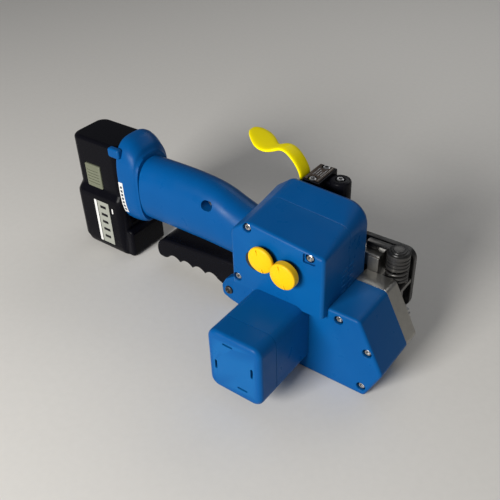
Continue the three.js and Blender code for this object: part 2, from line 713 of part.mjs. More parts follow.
// Cast bracket under the main cover: two cheeks hold the finger lever's pin.
function leverBracket() {
  const outline = [
    [FRAME.rear - GAP, 2],
    [FRAME.rear - GAP, COVER.bottom - 2 * GAP],
    [-88, COVER.bottom - 2 * GAP],
    [-88, 46.4],
    [-104, 46.4],
    [-126, 31],
    [-131, 22],
    [-130, 12],
    [-122, 8.5],
    [-100, 3],
  ];
  const block = plateY(outline, 36, BASE.near - GAP + 18);
  const leverSlot = box([-140, -104], [LEVER.near - GAP, LEVER.far + GAP], [-5, 60]);
  const toeSlot = box([-140, -70], [52, 58.6], [28, 38]);
  const baseRelief = box([BASE.rear - 1, -60], [BASE.near - GAP, 100], [-5, 12 + GAP]);
  const pinBore = rodY(LEVER.pivotX, LEVER.pivotZ, 4 + GAP, 30, 100, 16);
  return cut(block, leverSlot, toeSlot, baseRelief, pinBore);
}

// ---------------------------------------------------------------- controls
function buttonCap([x, z, face]) {
  const { radius, thick, stem } = BUTTON;
  const reach = SWITCH.face - SWITCH.travel - face;
  const profile = [
    [0, 0],
    [radius * 0.6, 0.5],
    [radius * 0.93, 1.5],
    [radius, 2.8],
    [radius, thick],
    [stem, thick],
    [stem, reach],
    [0, reach],
  ].map(([r, y]) => new THREE.Vector2(r, y));
  return solid(new THREE.LatheGeometry(profile, 24).translate(x, face, z));
}

function buttonBoot([x, z]) {
  return cut(rodY(x, z, 8.6, -1.2, -GAP, 24), rodY(x, z, 5.6, -3, 1, 16));
}

const switchBody = ([x, z]) => box([x - 6, x + 6], [SWITCH.face, SWITCH.back], [z - 6, z + 6]);

function circuitBoard() {
  const panel = box([-78, -14], [34, 35.6], [80, 124]);
  const relay = box([-70, -54], [35, 47], [84, 98]);
  const capacitor = rodY(-30, 90, 5, 35, 50, 14);
  return join(panel, relay, capacitor);
}

// ---------------------------------------------------------------- battery
function batteryShell(inset) {
  const { rear, shoulder, top, corner } = BATTERY;
  const ring = (z, [near, far], back, front, radius) =>
    roundedOutline(rectangle([back + inset, front - inset], [near + inset, far - inset]), radius)
      .map(([x, y]) => [x, y, z]);
  const lower = [BATTERY_LOWER.near, BATTERY_LOWER.far];
  const upper = [BATTERY_UPPER.near, BATTERY_UPPER.far];
  const front = BATTERY.front + 2 * inset;
  return loft([
    ring(inset, [lower[0] + 4, lower[1] - 4], rear + 5, front, corner),
    ring(10, lower, rear, front, corner),
    ring(shoulder - 4, lower, rear, front, corner),
    ring(shoulder + 5, upper, rear + 3, front, corner),
    ring(top - 4, upper, rear + 3, front, corner),
    ring(top - inset, [upper[0] + 2, upper[1] - 2], rear + 6, front, corner - 2),
  ]);
}

function batteryCase() {
  const cavity = batteryShell(WALL).intersect(box([-400, -200], [0, 200], [0, 123.5]));
  const foot = plateY(
    roundedOutline(rectangle([BATTERY.front - 10, BATTERY.foot], [0, 32]), 5),
    BATTERY_LOWER.near + 4,
    BATTERY_LOWER.far - 4,
  );
  const frontWall = box([BATTERY.front - 3, BATTERY.foot], [30, 100], [-5, 33]);
  const hollow = cut(batteryShell(0), cut(cavity, frontWall));
  const windows = [
    box([LATCH.rear - GAP, LATCH.front + GAP], [30, 50], [LATCH.bottom - GAP, LATCH.top + GAP]),
    box([LATCH.rear - GAP, LATCH.front + GAP], [74, 95], [LATCH.bottom - GAP, LATCH.top + GAP]),
  ];
  return cut(join(hollow, cut(foot, box([-400, -259.5], [0, 200], [-5, 60]))), ...windows);
}

// Front plate and the stalk that reaches into the grip.
function batteryStalk() {
  const plate = box([-262, BATTERY.front], [47, 77], [37, 119]);
  const stalk = loft([
    ovalRing(-260, HANDLE.y, 14, 55, 108, 3),
    ovalRing(-204, HANDLE.y, 13.4, 56, 107, 3),
    ovalRing(-200, HANDLE.y, 12, 58, 105, 3),
  ]);
  return join(plate, stalk);
}

// Eight cells in their pack, tied by nickel strips.
function batteryCells() {
  const radius = 10.4;
  const [back, front] = [-309, -267];
  const cells = [];
  for (let row = 0; row < 3; row++) {
    const z = 14.5 + 21.4 * row;
    cells.push(rodX(HANDLE.y - 10.7, z, radius, back, front));
    cells.push(rodX(HANDLE.y + 10.7, z, radius, back, front));
  }
  cells.push(rodX(HANDLE.y, 80, radius, back, front));
  cells.push(rodX(HANDLE.y, 101.4, radius, back, front));
  const strips = [
    box([back - 0.6, back + 0.4], [48, 76], [12, 60]),
    box([back - 0.6, back + 0.4], [58, 66], [55, 104]),
    box([front - 0.4, front + 0.6], [48, 76], [12, 60]),
    box([front - 0.4, front + 0.6], [58, 66], [55, 104]),
  ];
  return join(...cells, ...strips);
}

function batteryLatch(side) {
  const outer = side < 0 ? BATTERY_UPPER.near : BATTERY_UPPER.far;
  const span = [outer + side * LATCH.stand, outer - side * 6].sort((a, b) => a - b);
  return box([LATCH.rear, LATCH.front], span, [LATCH.bottom, LATCH.top]);
}

// ---------------------------------------------------------------- assembly
function screws(prefix, sites, y) {
  return sites.map(([x, z], i) => screwY(`${prefix}_${i + 1}`, x, z, y));
}

function sealerScrews() {
  return SEALER_SCREWS.map(([x, y, z], i) => {
    const head = rodZ(x, y, SCREW.head, z - SCREW.depth + 1 + GAP, z + 0.6, 12);
    const shank = rodZ(x, y, SCREW.shank, z - 8, z - 1, 8);
    const socket = rodZ(x, y, 1.3, z - 0.7, z + 2, 6);
    return named(`sealer_screw_${i + 1}`, steel, cut(join(head, shank), socket));
  });
}

const tool = new THREE.Group();
tool.add(
  named("main_frame", aluminium, mainFrame()),
  named("base_plate", blackSteel, basePlate()),
  named("gripper_insert", steel, gripperInsert()),
  named("bearing_block", aluminium, bearingBlock()),
  named("side_plate", blackSteel, sidePlate()),
  named("main_cover", blue, mainCover()),
  named("gear_cover", blue, gearCover()),
  named("motor_housing", blue, motorHousing()),
  named("motor_can", steel, motorCan()),
  named("motor_shaft", steel, motorShaft()),
  named("idler_shaft", steel, rodY(IDLER.x, IDLER.z, IDLER.shaft, 10.2, SIDE_PLATE.far - 1, 16)),
  named("idler_gear", steel, idlerGear()),
  named("feed_shaft", steel, feedShaft()),
  named("feed_wheel", steel, feedWheel()),
  named("drive_belt", rubber, driveBelt()),
  named("eccentric_shaft", steel, eccentricShaft()),
  named("rocker", blackSteel, rocker()),
  named("release_link", steel, releaseLink()),
  named("rocker_spring", blackSteel, rockerSpring()),
  named("spring_cap", blackSteel, springCap()),
  named("sealer_housing", black, sealerHousing()),
  named("nameplate", grey, nameplate()),
  named("press_column", steel, pressColumn()),
  named("weld_shoe", steel, weldShoe()),
  named("cutter_blade", steel, cutterBlade()),
  named("weld_lever", yellow, weldLever()),
  named("weld_lever_pin", steel, rodY(CAM.x, CAM.z, 3, SEALER.near, SEALER.far - 3, 12)),
  named("handle_near_half", blue, handleHalf(-1)),
  named("handle_far_half", blue, handleHalf(1)),
  named("handle_collar", blue, handleCollar()),
  screwY("handle_screw", HANDLE_SCREW.x, HANDLE_SCREW.z, HANDLE_SCREW.y),
  named("contact_block", black, box([-192, -184], [50, 74], [62, 102])),
  named("lever_bracket", blue, leverBracket()),
  named("lever_pin", blackSteel, rodY(LEVER.pivotX, LEVER.pivotZ, 4, 34, 88, 16)),
  named("finger_lever", black, fingerLever()),
  named("circuit_board", board, circuitBoard()),
  ...screws("cover_screw", COVER_SCREWS, COVER.near + 1.6),
  ...screws("gear_cover_screw", GEAR_COVER_SCREWS, GEAR_COVER_NEAR + 1.8),
  ...sealerScrews(),
  named("battery_case", black, batteryCase()),
  named("battery_stalk", black, batteryStalk()),
  named("battery_cells", cellWrap, batteryCells()),
  named("battery_latch_near", grey, batteryLatch(-1)),
  named("battery_latch_far", grey, batteryLatch(1)),
);
for (const [use, site] of Object.entries(BUTTON_SITES)) {
  tool.add(
    named(`${use}_button`, amber, buttonCap(site)),
    named(`${use}_boot`, rubber, buttonBoot(site)),
    named(`${use}_switch`, rubber, switchBody(site)),
  );
}

// The finished tool stands on the plane Z = 0 with the middle of its box over the origin.
const extent = new THREE.Box3().setFromObject(tool);
const middle = extent.getCenter(new THREE.Vector3());
tool.position.set(-middle.x, -middle.y, -extent.min.z);

const strappingTool = new THREE.Group();
strappingTool.name = "battery_strapping_tool";
strappingTool.add(tool);

export default strappingTool;
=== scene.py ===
"""Looks of the battery strapping tool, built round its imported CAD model, for Blender 4.5.

Shapes are laid out in working millimetres: X = 0 is the main cover's front face, Y = 0 its near
face and Z = 0 the floor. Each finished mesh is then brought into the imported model's frame in metres.
"""
import json
import math

import bmesh
import bpy
from mathutils import Matrix, Vector


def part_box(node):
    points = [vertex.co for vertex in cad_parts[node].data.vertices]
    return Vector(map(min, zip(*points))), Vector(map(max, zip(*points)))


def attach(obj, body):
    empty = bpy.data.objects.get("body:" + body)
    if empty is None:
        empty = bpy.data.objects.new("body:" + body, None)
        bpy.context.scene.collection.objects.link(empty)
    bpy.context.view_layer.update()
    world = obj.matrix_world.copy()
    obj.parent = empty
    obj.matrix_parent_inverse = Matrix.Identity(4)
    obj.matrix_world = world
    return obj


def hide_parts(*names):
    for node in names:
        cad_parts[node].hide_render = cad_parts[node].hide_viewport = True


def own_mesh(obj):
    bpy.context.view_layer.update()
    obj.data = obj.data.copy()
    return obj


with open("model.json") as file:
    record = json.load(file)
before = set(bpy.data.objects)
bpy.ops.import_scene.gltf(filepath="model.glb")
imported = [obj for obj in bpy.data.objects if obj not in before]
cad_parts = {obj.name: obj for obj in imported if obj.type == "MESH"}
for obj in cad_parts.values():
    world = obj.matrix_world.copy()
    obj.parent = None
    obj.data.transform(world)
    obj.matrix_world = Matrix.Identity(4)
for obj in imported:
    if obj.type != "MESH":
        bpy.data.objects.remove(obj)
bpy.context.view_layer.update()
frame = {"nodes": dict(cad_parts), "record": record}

COVER_LOW, COVER_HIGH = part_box("main_cover")
ORIGIN = Vector((COVER_HIGH.x, COVER_LOW.y, 0.0))
TO_FRAME = Matrix.Translation(ORIGIN) @ Matrix.Scale(0.001, 4)
GAP = 0.3  # clearance kept between neighbouring pieces


def in_frame(x, y, z):
    """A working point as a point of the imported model."""
    return TO_FRAME @ Vector((x, y, z))


def span(node):
    """Lowest and highest corner of a CAD node in working millimetres."""
    low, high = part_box(node)
    return (low - ORIGIN) * 1000, (high - ORIGIN) * 1000


def middle_of(node):
    low, high = span(node)
    return (low + high) / 2


def put(node, values):
    """Sets a shader node's inputs by name."""
    for name, value in values.items():
        node.inputs[name].default_value = value


# ---------------- camera, light and floor
def make_camera():
    azimuth, elevation, roll = math.radians(37.69), math.radians(36.18), math.radians(-2.36)
    distance = 0.55115
    back = Vector(
        (
            math.sin(azimuth) * math.cos(elevation),
            -math.cos(azimuth) * math.cos(elevation),
            math.sin(elevation),
        )
    )
    level = Vector((math.cos(azimuth), math.sin(azimuth), 0))
    upright = back.cross(level)
    right = level * math.cos(roll) + upright * math.sin(roll)
    up = upright * math.cos(roll) - level * math.sin(roll)
    aim = in_frame(-67.93, 0, 109.83)
    data = bpy.data.cameras.new("camera")
    data.lens, data.sensor_width = 50.26, 36
    data.clip_start, data.clip_end = 0.01, 50
    camera = bpy.data.objects.new("camera", data)
    turn = Matrix((right, up, back)).transposed().to_4x4()
    camera.matrix_world = Matrix.Translation(aim + back * distance) @ turn
    bpy.context.scene.collection.objects.link(camera)
    bpy.context.scene.camera = camera


def area_light(name, place, target, size, power, colour=(1, 1, 1)):
    data = bpy.data.lights.new(name, "AREA")
    data.shape, data.size, data.size_y = "RECTANGLE", size[0], size[1]
    data.energy, data.color = power, colour
    light = bpy.data.objects.new(name, data)
    light.location = place
    light.rotation_euler = (Vector(target) - Vector(place)).to_track_quat("-Z", "Y").to_euler()
    bpy.context.scene.collection.objects.link(light)


def make_studio():
    world = bpy.data.worlds.new("studio")
    bpy.context.scene.world = world
    world.use_nodes = True
    put(world.node_tree.nodes["Background"], {"Color": (0.93, 0.95, 1.0, 1), "Strength": 0.15})
    middle = in_frame(-130, 40, 60)
    area_light("key", middle + Vector((-0.1, -1.5, 0.62)), middle, (0.7, 0.5), 33, (1, 0.985, 0.96))
    area_light("fill", middle + Vector((1.3, -0.7, 0.6)), middle, (1.0, 1.0), 1.2)
    area_light("rim", middle + Vector((0.1, 1.1, 0.9)), middle, (1.2, 0.5), 3)
    bpy.context.scene.view_settings.view_transform = "Standard"


def make_floor():
    made = bmesh.new()
    bmesh.ops.create_grid(made, x_segments=2, y_segments=2, size=4)
    mesh = bpy.data.meshes.new("floor")
    made.to_mesh(mesh)
    floor = bpy.data.objects.new("floor", mesh)
    bpy.context.scene.collection.objects.link(floor)
    surface = Surface("pale_floor", (0.74, 0.72, 0.68), 0.75)
    surface.mottle(160, 0.008)
    surface.bump((900, 0.02, 0.0002))
    mesh.materials.append(surface.material)


# ---------------- materials
class Surface:
    """A procedural finish: base colour, roughness and relief from noise in object space."""

    def __init__(self, name, colour, roughness, metallic=0.0):
        self.material = bpy.data.materials.new(name)
        self.material.use_nodes = True
        self.material.diffuse_color = (*colour, 1)
        self.nodes = self.material.node_tree.nodes
        self.links = self.material.node_tree.links
        self.shader = self.nodes["Principled BSDF"]
        self.colour, self.roughness = colour, roughness
        put(self.shader, {"Base Color": (*colour, 1), "Roughness": roughness, "Metallic": metallic})
        self.place = self.nodes.new("ShaderNodeTexCoord").outputs["Object"]
        self.tint = None
        self.relief = None

    def noise(self, scale, detail=3, stretch=(1, 1, 1)):
        """Noise whose scale is in features per metre, drawn out along an axis by stretch."""
        mapping = self.nodes.new("ShaderNodeMapping")
        put(mapping, {"Scale": stretch})
        self.links.new(self.place, mapping.inputs["Vector"])
        texture = self.nodes.new("ShaderNodeTexNoise")
        put(texture, {"Scale": scale, "Detail": detail})
        self.links.new(mapping.outputs["Vector"], texture.inputs["Vector"])
        return texture.outputs["Fac"]

    def spread(self, factor, low, high, into=None):
        """Maps a 0 to 1 factor onto low to high, centred on the middle of noise."""
        ramp = self.nodes.new("ShaderNodeMapRange")
        put(ramp, {"From Min": 0.3, "From Max": 0.7, "To Min": low, "To Max": high})
        self.links.new(factor, ramp.inputs["Value"])
        if into:
            self.links.new(ramp.outputs["Result"], into)
        return ramp.outputs["Result"]

    def mix(self, factor, colour):
        """Lays colour over what is there, by factor."""
        blend = self.nodes.new("ShaderNodeMix")
        blend.data_type = "RGBA"
        self.links.new(factor, blend.inputs["Factor"])
        if self.tint is None:
            put(blend, {"A": (*self.colour, 1)})
        else:
            self.links.new(self.tint, blend.inputs["A"])
        put(blend, {"B": (*colour, 1)})
        self.tint = blend.outputs["Result"]
        self.links.new(self.tint, self.shader.inputs["Base Color"])

    def mottle(self, scale, amount, detail=4):
        """Slow change of shade."""
        shade = tuple(c * (1 - 6 * amount) for c in self.colour)
        self.mix(self.spread(self.noise(scale, detail), 0, 0.5), shade)

    def worn_edges(self, colour, amount):
        """Lighter rubbed edges, found from the curvature of the mesh."""
        pointed = self.nodes.new("ShaderNodeNewGeometry").outputs["Pointiness"]
        ramp = self.nodes.new("ShaderNodeMapRange")
        put(ramp, {"From Min": 0.52, "From Max": 0.62, "To Max": amount})
        self.links.new(pointed, ramp.inputs["Value"])
        self.mix(ramp.outputs["Result"], colour)

    def uneven_gloss(self, scale, amount, stretch=(1, 1, 1)):
        factor = self.noise(scale, 4, stretch)
        low, high = self.roughness - amount, self.roughness + amount
        self.spread(factor, low, high, self.shader.inputs["Roughness"])

    def bump(self, *layers):
        """Relief from noise layers, each (features per metre, strength, height in metres, stretch)."""
        for scale, strength, height, *stretch in layers:
            node = self.nodes.new("ShaderNodeBump")
            put(node, {"Strength": strength, "Distance": height})
            factor = self.noise(scale, 2, *stretch)
            self.links.new(factor, node.inputs["Height"])
            if self.relief is not None:
                self.links.new(self.relief, node.inputs["Normal"])
            self.relief = node.outputs["Normal"]
        self.links.new(self.relief, self.shader.inputs["Normal"])


def moulded(name, colour, roughness, worn, grain=0.25):
    """Injection moulded plastic: fine spark grain, faint flow mottling and rubbed edges."""
    surface = Surface(name, colour, roughness)
    put(surface.shader, {"Specular IOR Level": 0.1})
    surface.mottle(28, 0.025)
    surface.worn_edges(worn, 0.35)
    surface.uneven_gloss(70, 0.07)
    surface.bump((1500, grain, 0.00012), (90, 0.12, 0.0006))
    return surface.material


def glossy(name, colour, roughness, worn):
    """Smooth polished plastic or enamel with faint orange peel and handling marks."""
    surface = Surface(name, colour, roughness)
    put(surface.shader, {"Specular IOR Level": 0.06})
    surface.mottle(45, 0.02)
    surface.worn_edges(worn, 0.25)
    surface.uneven_gloss(120, 0.06)
    surface.bump((260, 0.06, 0.0003))
    return surface.material


def machined(name, colour, roughness, stretch):
    """Bare metal with tool marks drawn out along one axis."""
    surface = Surface(name, colour, roughness, 1.0)
    surface.mottle(60, 0.03)
    surface.worn_edges(tuple(min(1, 1.35 * c) for c in colour), 0.5)
    surface.uneven_gloss(400, 0.09, stretch)
    surface.bump((700, 0.18, 0.0001, stretch))
    return surface.material


def blackened(name, colour, roughness):
    """Chemically blacked steel: satin, with brown-grey rubbed edges."""
    surface = Surface(name, colour, roughness, 0.6)
    surface.mottle(80, 0.05)
    surface.worn_edges((0.2, 0.19, 0.18), 0.6)
    surface.uneven_gloss(150, 0.08)
    surface.bump((900, 0.15, 0.0001))
    return surface.material


def rubbery(name, colour):
    surface = Surface(name, colour, 0.72)
    surface.mottle(90, 0.05)
    surface.uneven_gloss(200, 0.08)
    surface.bump((2200, 0.35, 0.0001))
    return surface.material


ALONG_X, ALONG_Y = (0.04, 1, 1), (1, 0.04, 1)
MATERIALS = {
    "blue_plastic": moulded("blue_moulding", (0.0005, 0.078, 0.27), 0.33, (0.01, 0.15, 0.4)),
    "black_plastic": glossy("black_moulding", (0.003, 0.003, 0.005), 0.26, (0.03, 0.03, 0.034)),
    "rubber": rubbery("boot_rubber", (0.012, 0.012, 0.013)),
    "yellow_plastic": glossy("yellow_enamel", (0.98, 0.82, 0.002), 0.32, (1.0, 0.9, 0.1)),
    "amber_plastic": moulded("amber_moulding", (0.86, 0.5, 0.006), 0.34, (0.92, 0.62, 0.08), 0.15),
    "aluminium": machined("milled_aluminium", (0.36, 0.35, 0.325), 0.4, ALONG_X),
    "steel": machined("turned_steel", (0.46, 0.46, 0.46), 0.3, ALONG_Y),
    "black_steel": blackened("blacked_steel", (0.022, 0.022, 0.022), 0.38),
    "board": glossy("solder_mask", (0.02, 0.16, 0.06), 0.4, (0.1, 0.3, 0.15)),
    "latch_plastic": moulded("latch_moulding", (0.155, 0.165, 0.115), 0.45, (0.26, 0.27, 0.21)),
    "nameplate": glossy("plate_foil", (0.045, 0.032, 0.026), 0.32, (0.2, 0.18, 0.15)),
    "cell_wrap": glossy("cell_sleeve", (0.03, 0.13, 0.34), 0.35, (0.2, 0.3, 0.45)),
}
PRINT = {  # plain marks that stand where the real tool has labels
    "white_print": glossy("white_print", (0.72, 0.72, 0.7), 0.35, (0.8, 0.8, 0.78)),
    "grey_print": glossy("grey_print", (0.3, 0.31, 0.27), 0.35, (0.4, 0.41, 0.37)),
    "dark_print": glossy("dark_print", (0.03, 0.035, 0.05), 0.35, (0.06, 0.07, 0.08)),
}


# ---------------- outlines and sections
def rounded(corners, radius, inset=0.0, steps=7):
    """A polygon moved inwards by inset, each corner an arc; radius may be one value per corner."""
    count = len(corners)
    radii = radius if isinstance(radius, (list, tuple)) else [radius] * count
    points = [Vector(corner) for corner in corners]
    area = sum(a.x * b.y - b.x * a.y for a, b in zip(points, points[1:] + points[:1]))
    side = math.copysign(1, area)
    made = []
    for i, here in enumerate(points):
        before = (points[i - 1] - here).normalized()
        after = (points[(i + 1) % count] - here).normalized()
        bisector = (before + after).normalized()
        half = math.acos(max(-1.0, min(1.0, bisector.dot(after))))
        turn = math.copysign(1, after.x * before.y - after.y * before.x) * side
        middle = here + bisector * (turn * inset / math.sin(half))
        arc = max(radii[i] - turn * inset, 0.15)
        centre = middle + bisector * (arc / math.sin(half))
        start = math.atan2(-bisector.y, -bisector.x)
        sweep = turn * side * (math.pi - 2 * half) / 2
        for s in range(steps + 1):
            angle = start + sweep * (2 * s / steps - 1)
            made.append((centre.x + arc * math.cos(angle), centre.y + arc * math.sin(angle)))
    return made


def edge_roll(place, radius, inward, steps=6):
    """Stations (place, inset) over a rounded edge, from the end face into the block."""
    if not radius:
        return [(place, 0)]
    angles = [math.pi / 2 * s / steps for s in range(steps + 1)]
    return [(place + inward * radius * (1 - math.cos(a)), radius * (1 - math.sin(a))) for a in angles]


def rolled(start, end, first, last, steps=6):
    """Stations along a block whose two ends are rounded over by first and last."""
    return edge_roll(start, first, 1, steps) + edge_roll(end, last, -1, steps)[::-1]


def rectangle(x0, x1, z0, z1):
    return [(x0, z0), (x1, z0), (x1, z1), (x0, z1)]


ACROSS = {
    "X": lambda u, v, at: Vector((at, u, v)),
    "Y": lambda u, v, at: Vector((u, at, v)),
    "Z": lambda u, v, at: Vector((u, v, at)),
}


def ring(outline, at, axis="Y"):
    return [ACROSS[axis](u, v, at) for u, v in outline]


def oval(centre, half_width, half_height, power=2.3, sides=48):
    """A squared oval, as (across, up) points."""
    def soft(value):
        return math.copysign(abs(value) ** (2 / power), value)

    angles = [2 * math.pi * i / sides for i in range(sides)]
    return [
        (centre[0] + half_width * soft(math.cos(a)), centre[1] + half_height * soft(math.sin(a)))
        for a in angles
    ]


# ---------------- meshes in working millimetres
def new_object(name, made):
    bmesh.ops.recalc_face_normals(made, faces=made.faces)
    mesh = bpy.data.meshes.new(name)
    made.to_mesh(mesh)
    made.free()
    obj = bpy.data.objects.new(name, mesh)
    bpy.context.scene.collection.objects.link(obj)
    return obj


def loft(name, rings):
    """Rings of equal count skinned into one closed body."""
    made = bmesh.new()
    rows = [[made.verts.new(point) for point in points] for points in rings]
    count = len(rows[0])
    for low, high in zip(rows, rows[1:]):
        for i in range(count):
            j = (i + 1) % count
            made.faces.new((low[i], low[j], high[j], high[i]))
    made.faces.new(rows[0])
    made.faces.new(rows[-1])
    return new_object(name, made)


def block(name, corners, radius, start, end, first=0.4, last=0.4, axis="Y", steps=6):
    """An outline given thickness along an axis, with both of its edges rounded over."""
    stations = rolled(start, end, first, last, steps)
    return loft(name, [ring(rounded(corners, radius, inset), at, axis) for at, inset in stations])


def drum(radius, start, end):
    """Profile of a plain cylinder for turned."""
    return [(0, start), (radius, start), (radius, end), (0, end)]


def chamfered(radius, start, end, edge):
    """Profile of a cylinder with both of its rims cut back by edge."""
    first = [(0, start), (radius - edge, start), (radius, start + edge)]
    return first + [(radius, end - edge), (radius - edge, end), (0, end)]


def turned(name, profile, centre, axis="Y", sides=40):
    """A body of revolution from (radius, place along the axis) pairs that start and end on it."""
    made = bmesh.new()
    swing = [2 * math.pi * i / sides for i in range(sides)]
    rows = []
    for radius, at in profile:
        if radius < 1e-6:
            rows.append([made.verts.new(ACROSS[axis](centre[0], centre[1], at))])
            continue
        circle = [(centre[0] + radius * math.cos(a), centre[1] + radius * math.sin(a)) for a in swing]
        rows.append([made.verts.new(ACROSS[axis](u, v, at)) for u, v in circle])
    for low, high in zip(rows, rows[1:]):
        for i in range(sides):
            j = (i + 1) % sides
            below, above = len(low), len(high)
            corners = [low[i % below], low[j % below], high[j % above], high[i % above]]
            unique = list(dict.fromkeys(corners))
            if len(unique) > 2:
                made.faces.new(unique)
    return new_object(name, made)


def applied(obj):
    """Turns an object's modifiers into plain mesh."""
    graph = bpy.context.evaluated_depsgraph_get()
    mesh = bpy.data.meshes.new_from_object(obj.evaluated_get(graph))
    obj.modifiers.clear()
    old = obj.data
    obj.data = mesh
    bpy.data.meshes.remove(old)
    return obj


def boolean(obj, tools, operation):
    for tool in tools:
        modifier = obj.modifiers.new(operation, "BOOLEAN")
        modifier.operation, modifier.object, modifier.solver = operation, tool, "EXACT"
    applied(obj)
    for tool in tools:
        mesh = tool.data
        bpy.data.objects.remove(tool)
        bpy.data.meshes.remove(mesh)
    return obj


def carve(obj, *tools):
    return boolean(obj, tools, "DIFFERENCE")


def fuse(obj, *tools):
    return boolean(obj, tools, "UNION")


def softened(obj, width, segments=2, angle=35):
    """Bevels the sharp edges, so that they catch the light."""
    modifier = obj.modifiers.new("edges", "BEVEL")
    modifier.width, modifier.segments = width, segments
    modifier.limit_method, modifier.angle_limit = "ANGLE", math.radians(angle)
    modifier.use_clamp_overlap = True
    return applied(obj)


def subdivided(obj, levels=2):
    modifier = obj.modifiers.new("smooth", "SUBSURF")
    modifier.levels = modifier.render_levels = levels
    return applied(obj)


def piece(obj, body, slot, stands_for=(), smooth=32, material=None):
    """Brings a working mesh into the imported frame, shades it, paints it and rides it on its body."""
    obj.data.transform(TO_FRAME)
    obj.data.materials.clear()
    obj.data.materials.append(material or MATERIALS[slot])
    obj.data.polygons.foreach_set("use_smooth", [True] * len(obj.data.polygons))
    obj.data.set_sharp_from_angle(angle=math.radians(smooth))
    modifier = obj.modifiers.new("even_normals", "WEIGHTED_NORMAL")
    modifier.keep_sharp = True
    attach(obj, body)
    if stands_for:
        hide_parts(*stands_for)
    return obj


# ---------------- screws
SCREW_HEAD = 3.1  # radius
SCREW_HEAD_TALL = 2.9
SCREW_SHANK = 1.45


def screw_recess(centre, mouth, floor, axis="Y"):
    """Cutter for a counterbore with a chamfered lip, from mouth down to floor."""
    step = math.copysign(1, floor - mouth)
    wide = SCREW_HEAD + 0.9
    above = mouth - 3 * step
    profile = [(0, above), (wide + 3.5, above), (wide + 0.5, mouth)]
    profile += [(wide, mouth + 0.5 * step), (wide, floor), (0, floor)]
    return turned("recess", profile, centre, axis, 32)


def cover_recesses(part, mouth):
    """Cutters for the recesses of the three screws that hold a cover, from its near face."""
    made = []
    for number in (1, 2, 3):
        node = f"{part}_screw_{number}"
        centre = middle_of(node)
        made.append(screw_recess((centre.x, centre.z), mouth, span(node)[0].y + 3.2))
    return made


def cap_screw(node, axis="Y", inward=1):
    """Socket head screw standing in for a CAD screw: chamfered rim and hexagon socket."""
    low, high = span(node)
    across = [i for i in range(3) if "XYZ"[i] != axis]
    centre = [(low[i] + high[i]) / 2 for i in across]
    along = "XYZ".index(axis)
    face, end = (low[along], high[along]) if inward > 0 else (high[along], low[along])
    seat = face + SCREW_HEAD_TALL * inward
    profile = [(0, face + 0.1 * inward), (SCREW_HEAD - 0.7, face), (SCREW_HEAD, face + 0.5 * inward)]
    profile += [(SCREW_HEAD, seat), (SCREW_SHANK, seat), (SCREW_SHANK, end - 0.5 * inward), (0, end)]
    screw = turned(node + "_detail", profile, centre, axis, 36)
    hexagon = oval(centre, 1.8, 1.8, 2, 6)
    socket = [ring(hexagon, face + depth * inward, axis) for depth in (-1, 1.7)]
    carve(screw, loft("socket", socket))
    return piece(screw, "tool_body", "steel", [node])


# ---------------- main cover
# height of the top at the rear and at the front, along three lines across the cover
COVER_TOP = {"near": (135.5, 127.5), "crease": (139, 133.5), "far": (143, 139.5)}
COVER_CREASE_Y = 39
CHAMFER_RUN, CHAMFER_DROP = 17, 13
COVER_RADII = {"near": (1, 3.5, 4, 14, 9), "far": (1, 5, 19, 10, 9)}


def between(a, b, share):
    return tuple(p + (q - p) * share for p, q in zip(a, b))


def cover_ring(at, top, radii, inset=0.0):
    low, high = span("main_cover")
    corners = [
        (low.x, low.z - 14),
        (high.x, low.z - 14),
        (high.x, top[1]),
        (low.x + CHAMFER_RUN, top[0]),
        (low.x, top[0] - CHAMFER_DROP),
    ]
    return ring(rounded(corners, radii, inset), at)


def cover_shell():
    low, high = span("main_cover")
    near, far = COVER_RADII["near"], COVER_RADII["far"]
    crease = between(near, far, 0.45)
    near_edge, far_edge = 3.2, 6.5
    stations = edge_roll(low.y, near_edge, 1)
    rings = [cover_ring(at, COVER_TOP["near"], near, inset) for at, inset in stations]
    last = low.y + near_edge
    for share in (0.4, 0.8):
        at = last + (COVER_CREASE_Y - 0.3 - last) * share
        top = between(COVER_TOP["near"], COVER_TOP["crease"], share)
        rings.append(cover_ring(at, top, between(near, crease, share)))
    for offset, inset in ((-0.3, 0), (-0.18, 0.22), (0.18, 0.22), (0.3, 0)):
        rings.append(cover_ring(COVER_CREASE_Y + offset, COVER_TOP["crease"], crease, inset))
    for share in (0.3, 0.65):
        at = COVER_CREASE_Y + (high.y - far_edge - COVER_CREASE_Y) * share
        top = between(COVER_TOP["crease"], COVER_TOP["far"], share)
        rings.append(cover_ring(at, top, between(crease, far, share)))
    for at, inset in reversed(edge_roll(high.y, far_edge, -1, 9)):
        rings.append(cover_ring(at, COVER_TOP["far"], far, inset))
    return loft("main_cover_shell", rings)


def main_cover():
    low, high = span("main_cover")
    shell = cover_shell()
    cavity = [(low.x + 3, low.z - 20), (-3, low.z - 20), (-3, 121), (-68, 128), (low.x + 3, 116)]
    cuts = [
        block("trim", rectangle(low.x - 30, 20, low.z - 40, low.z), 0.1, -20, 120),
        block("cavity", cavity, 4, low.y + 3, high.y - 6, 2, 6),
        block("notch", rectangle(-18.6, -7.6, 118.6, 127.2), 1.6, low.y - 2, low.y + 2.2, 0, 0.5),
    ]
    cuts += cover_recesses("cover", low.y)
    for use in ("tension", "weld"):
        centre = middle_of(use + "_boot")
        cuts.append(turned("hole", drum(6, low.y - 3, low.y + 7), (centre.x, centre.z)))
    carve(shell, *cuts)
    return piece(shell, "tool_body", "blue_plastic", ["main_cover"])


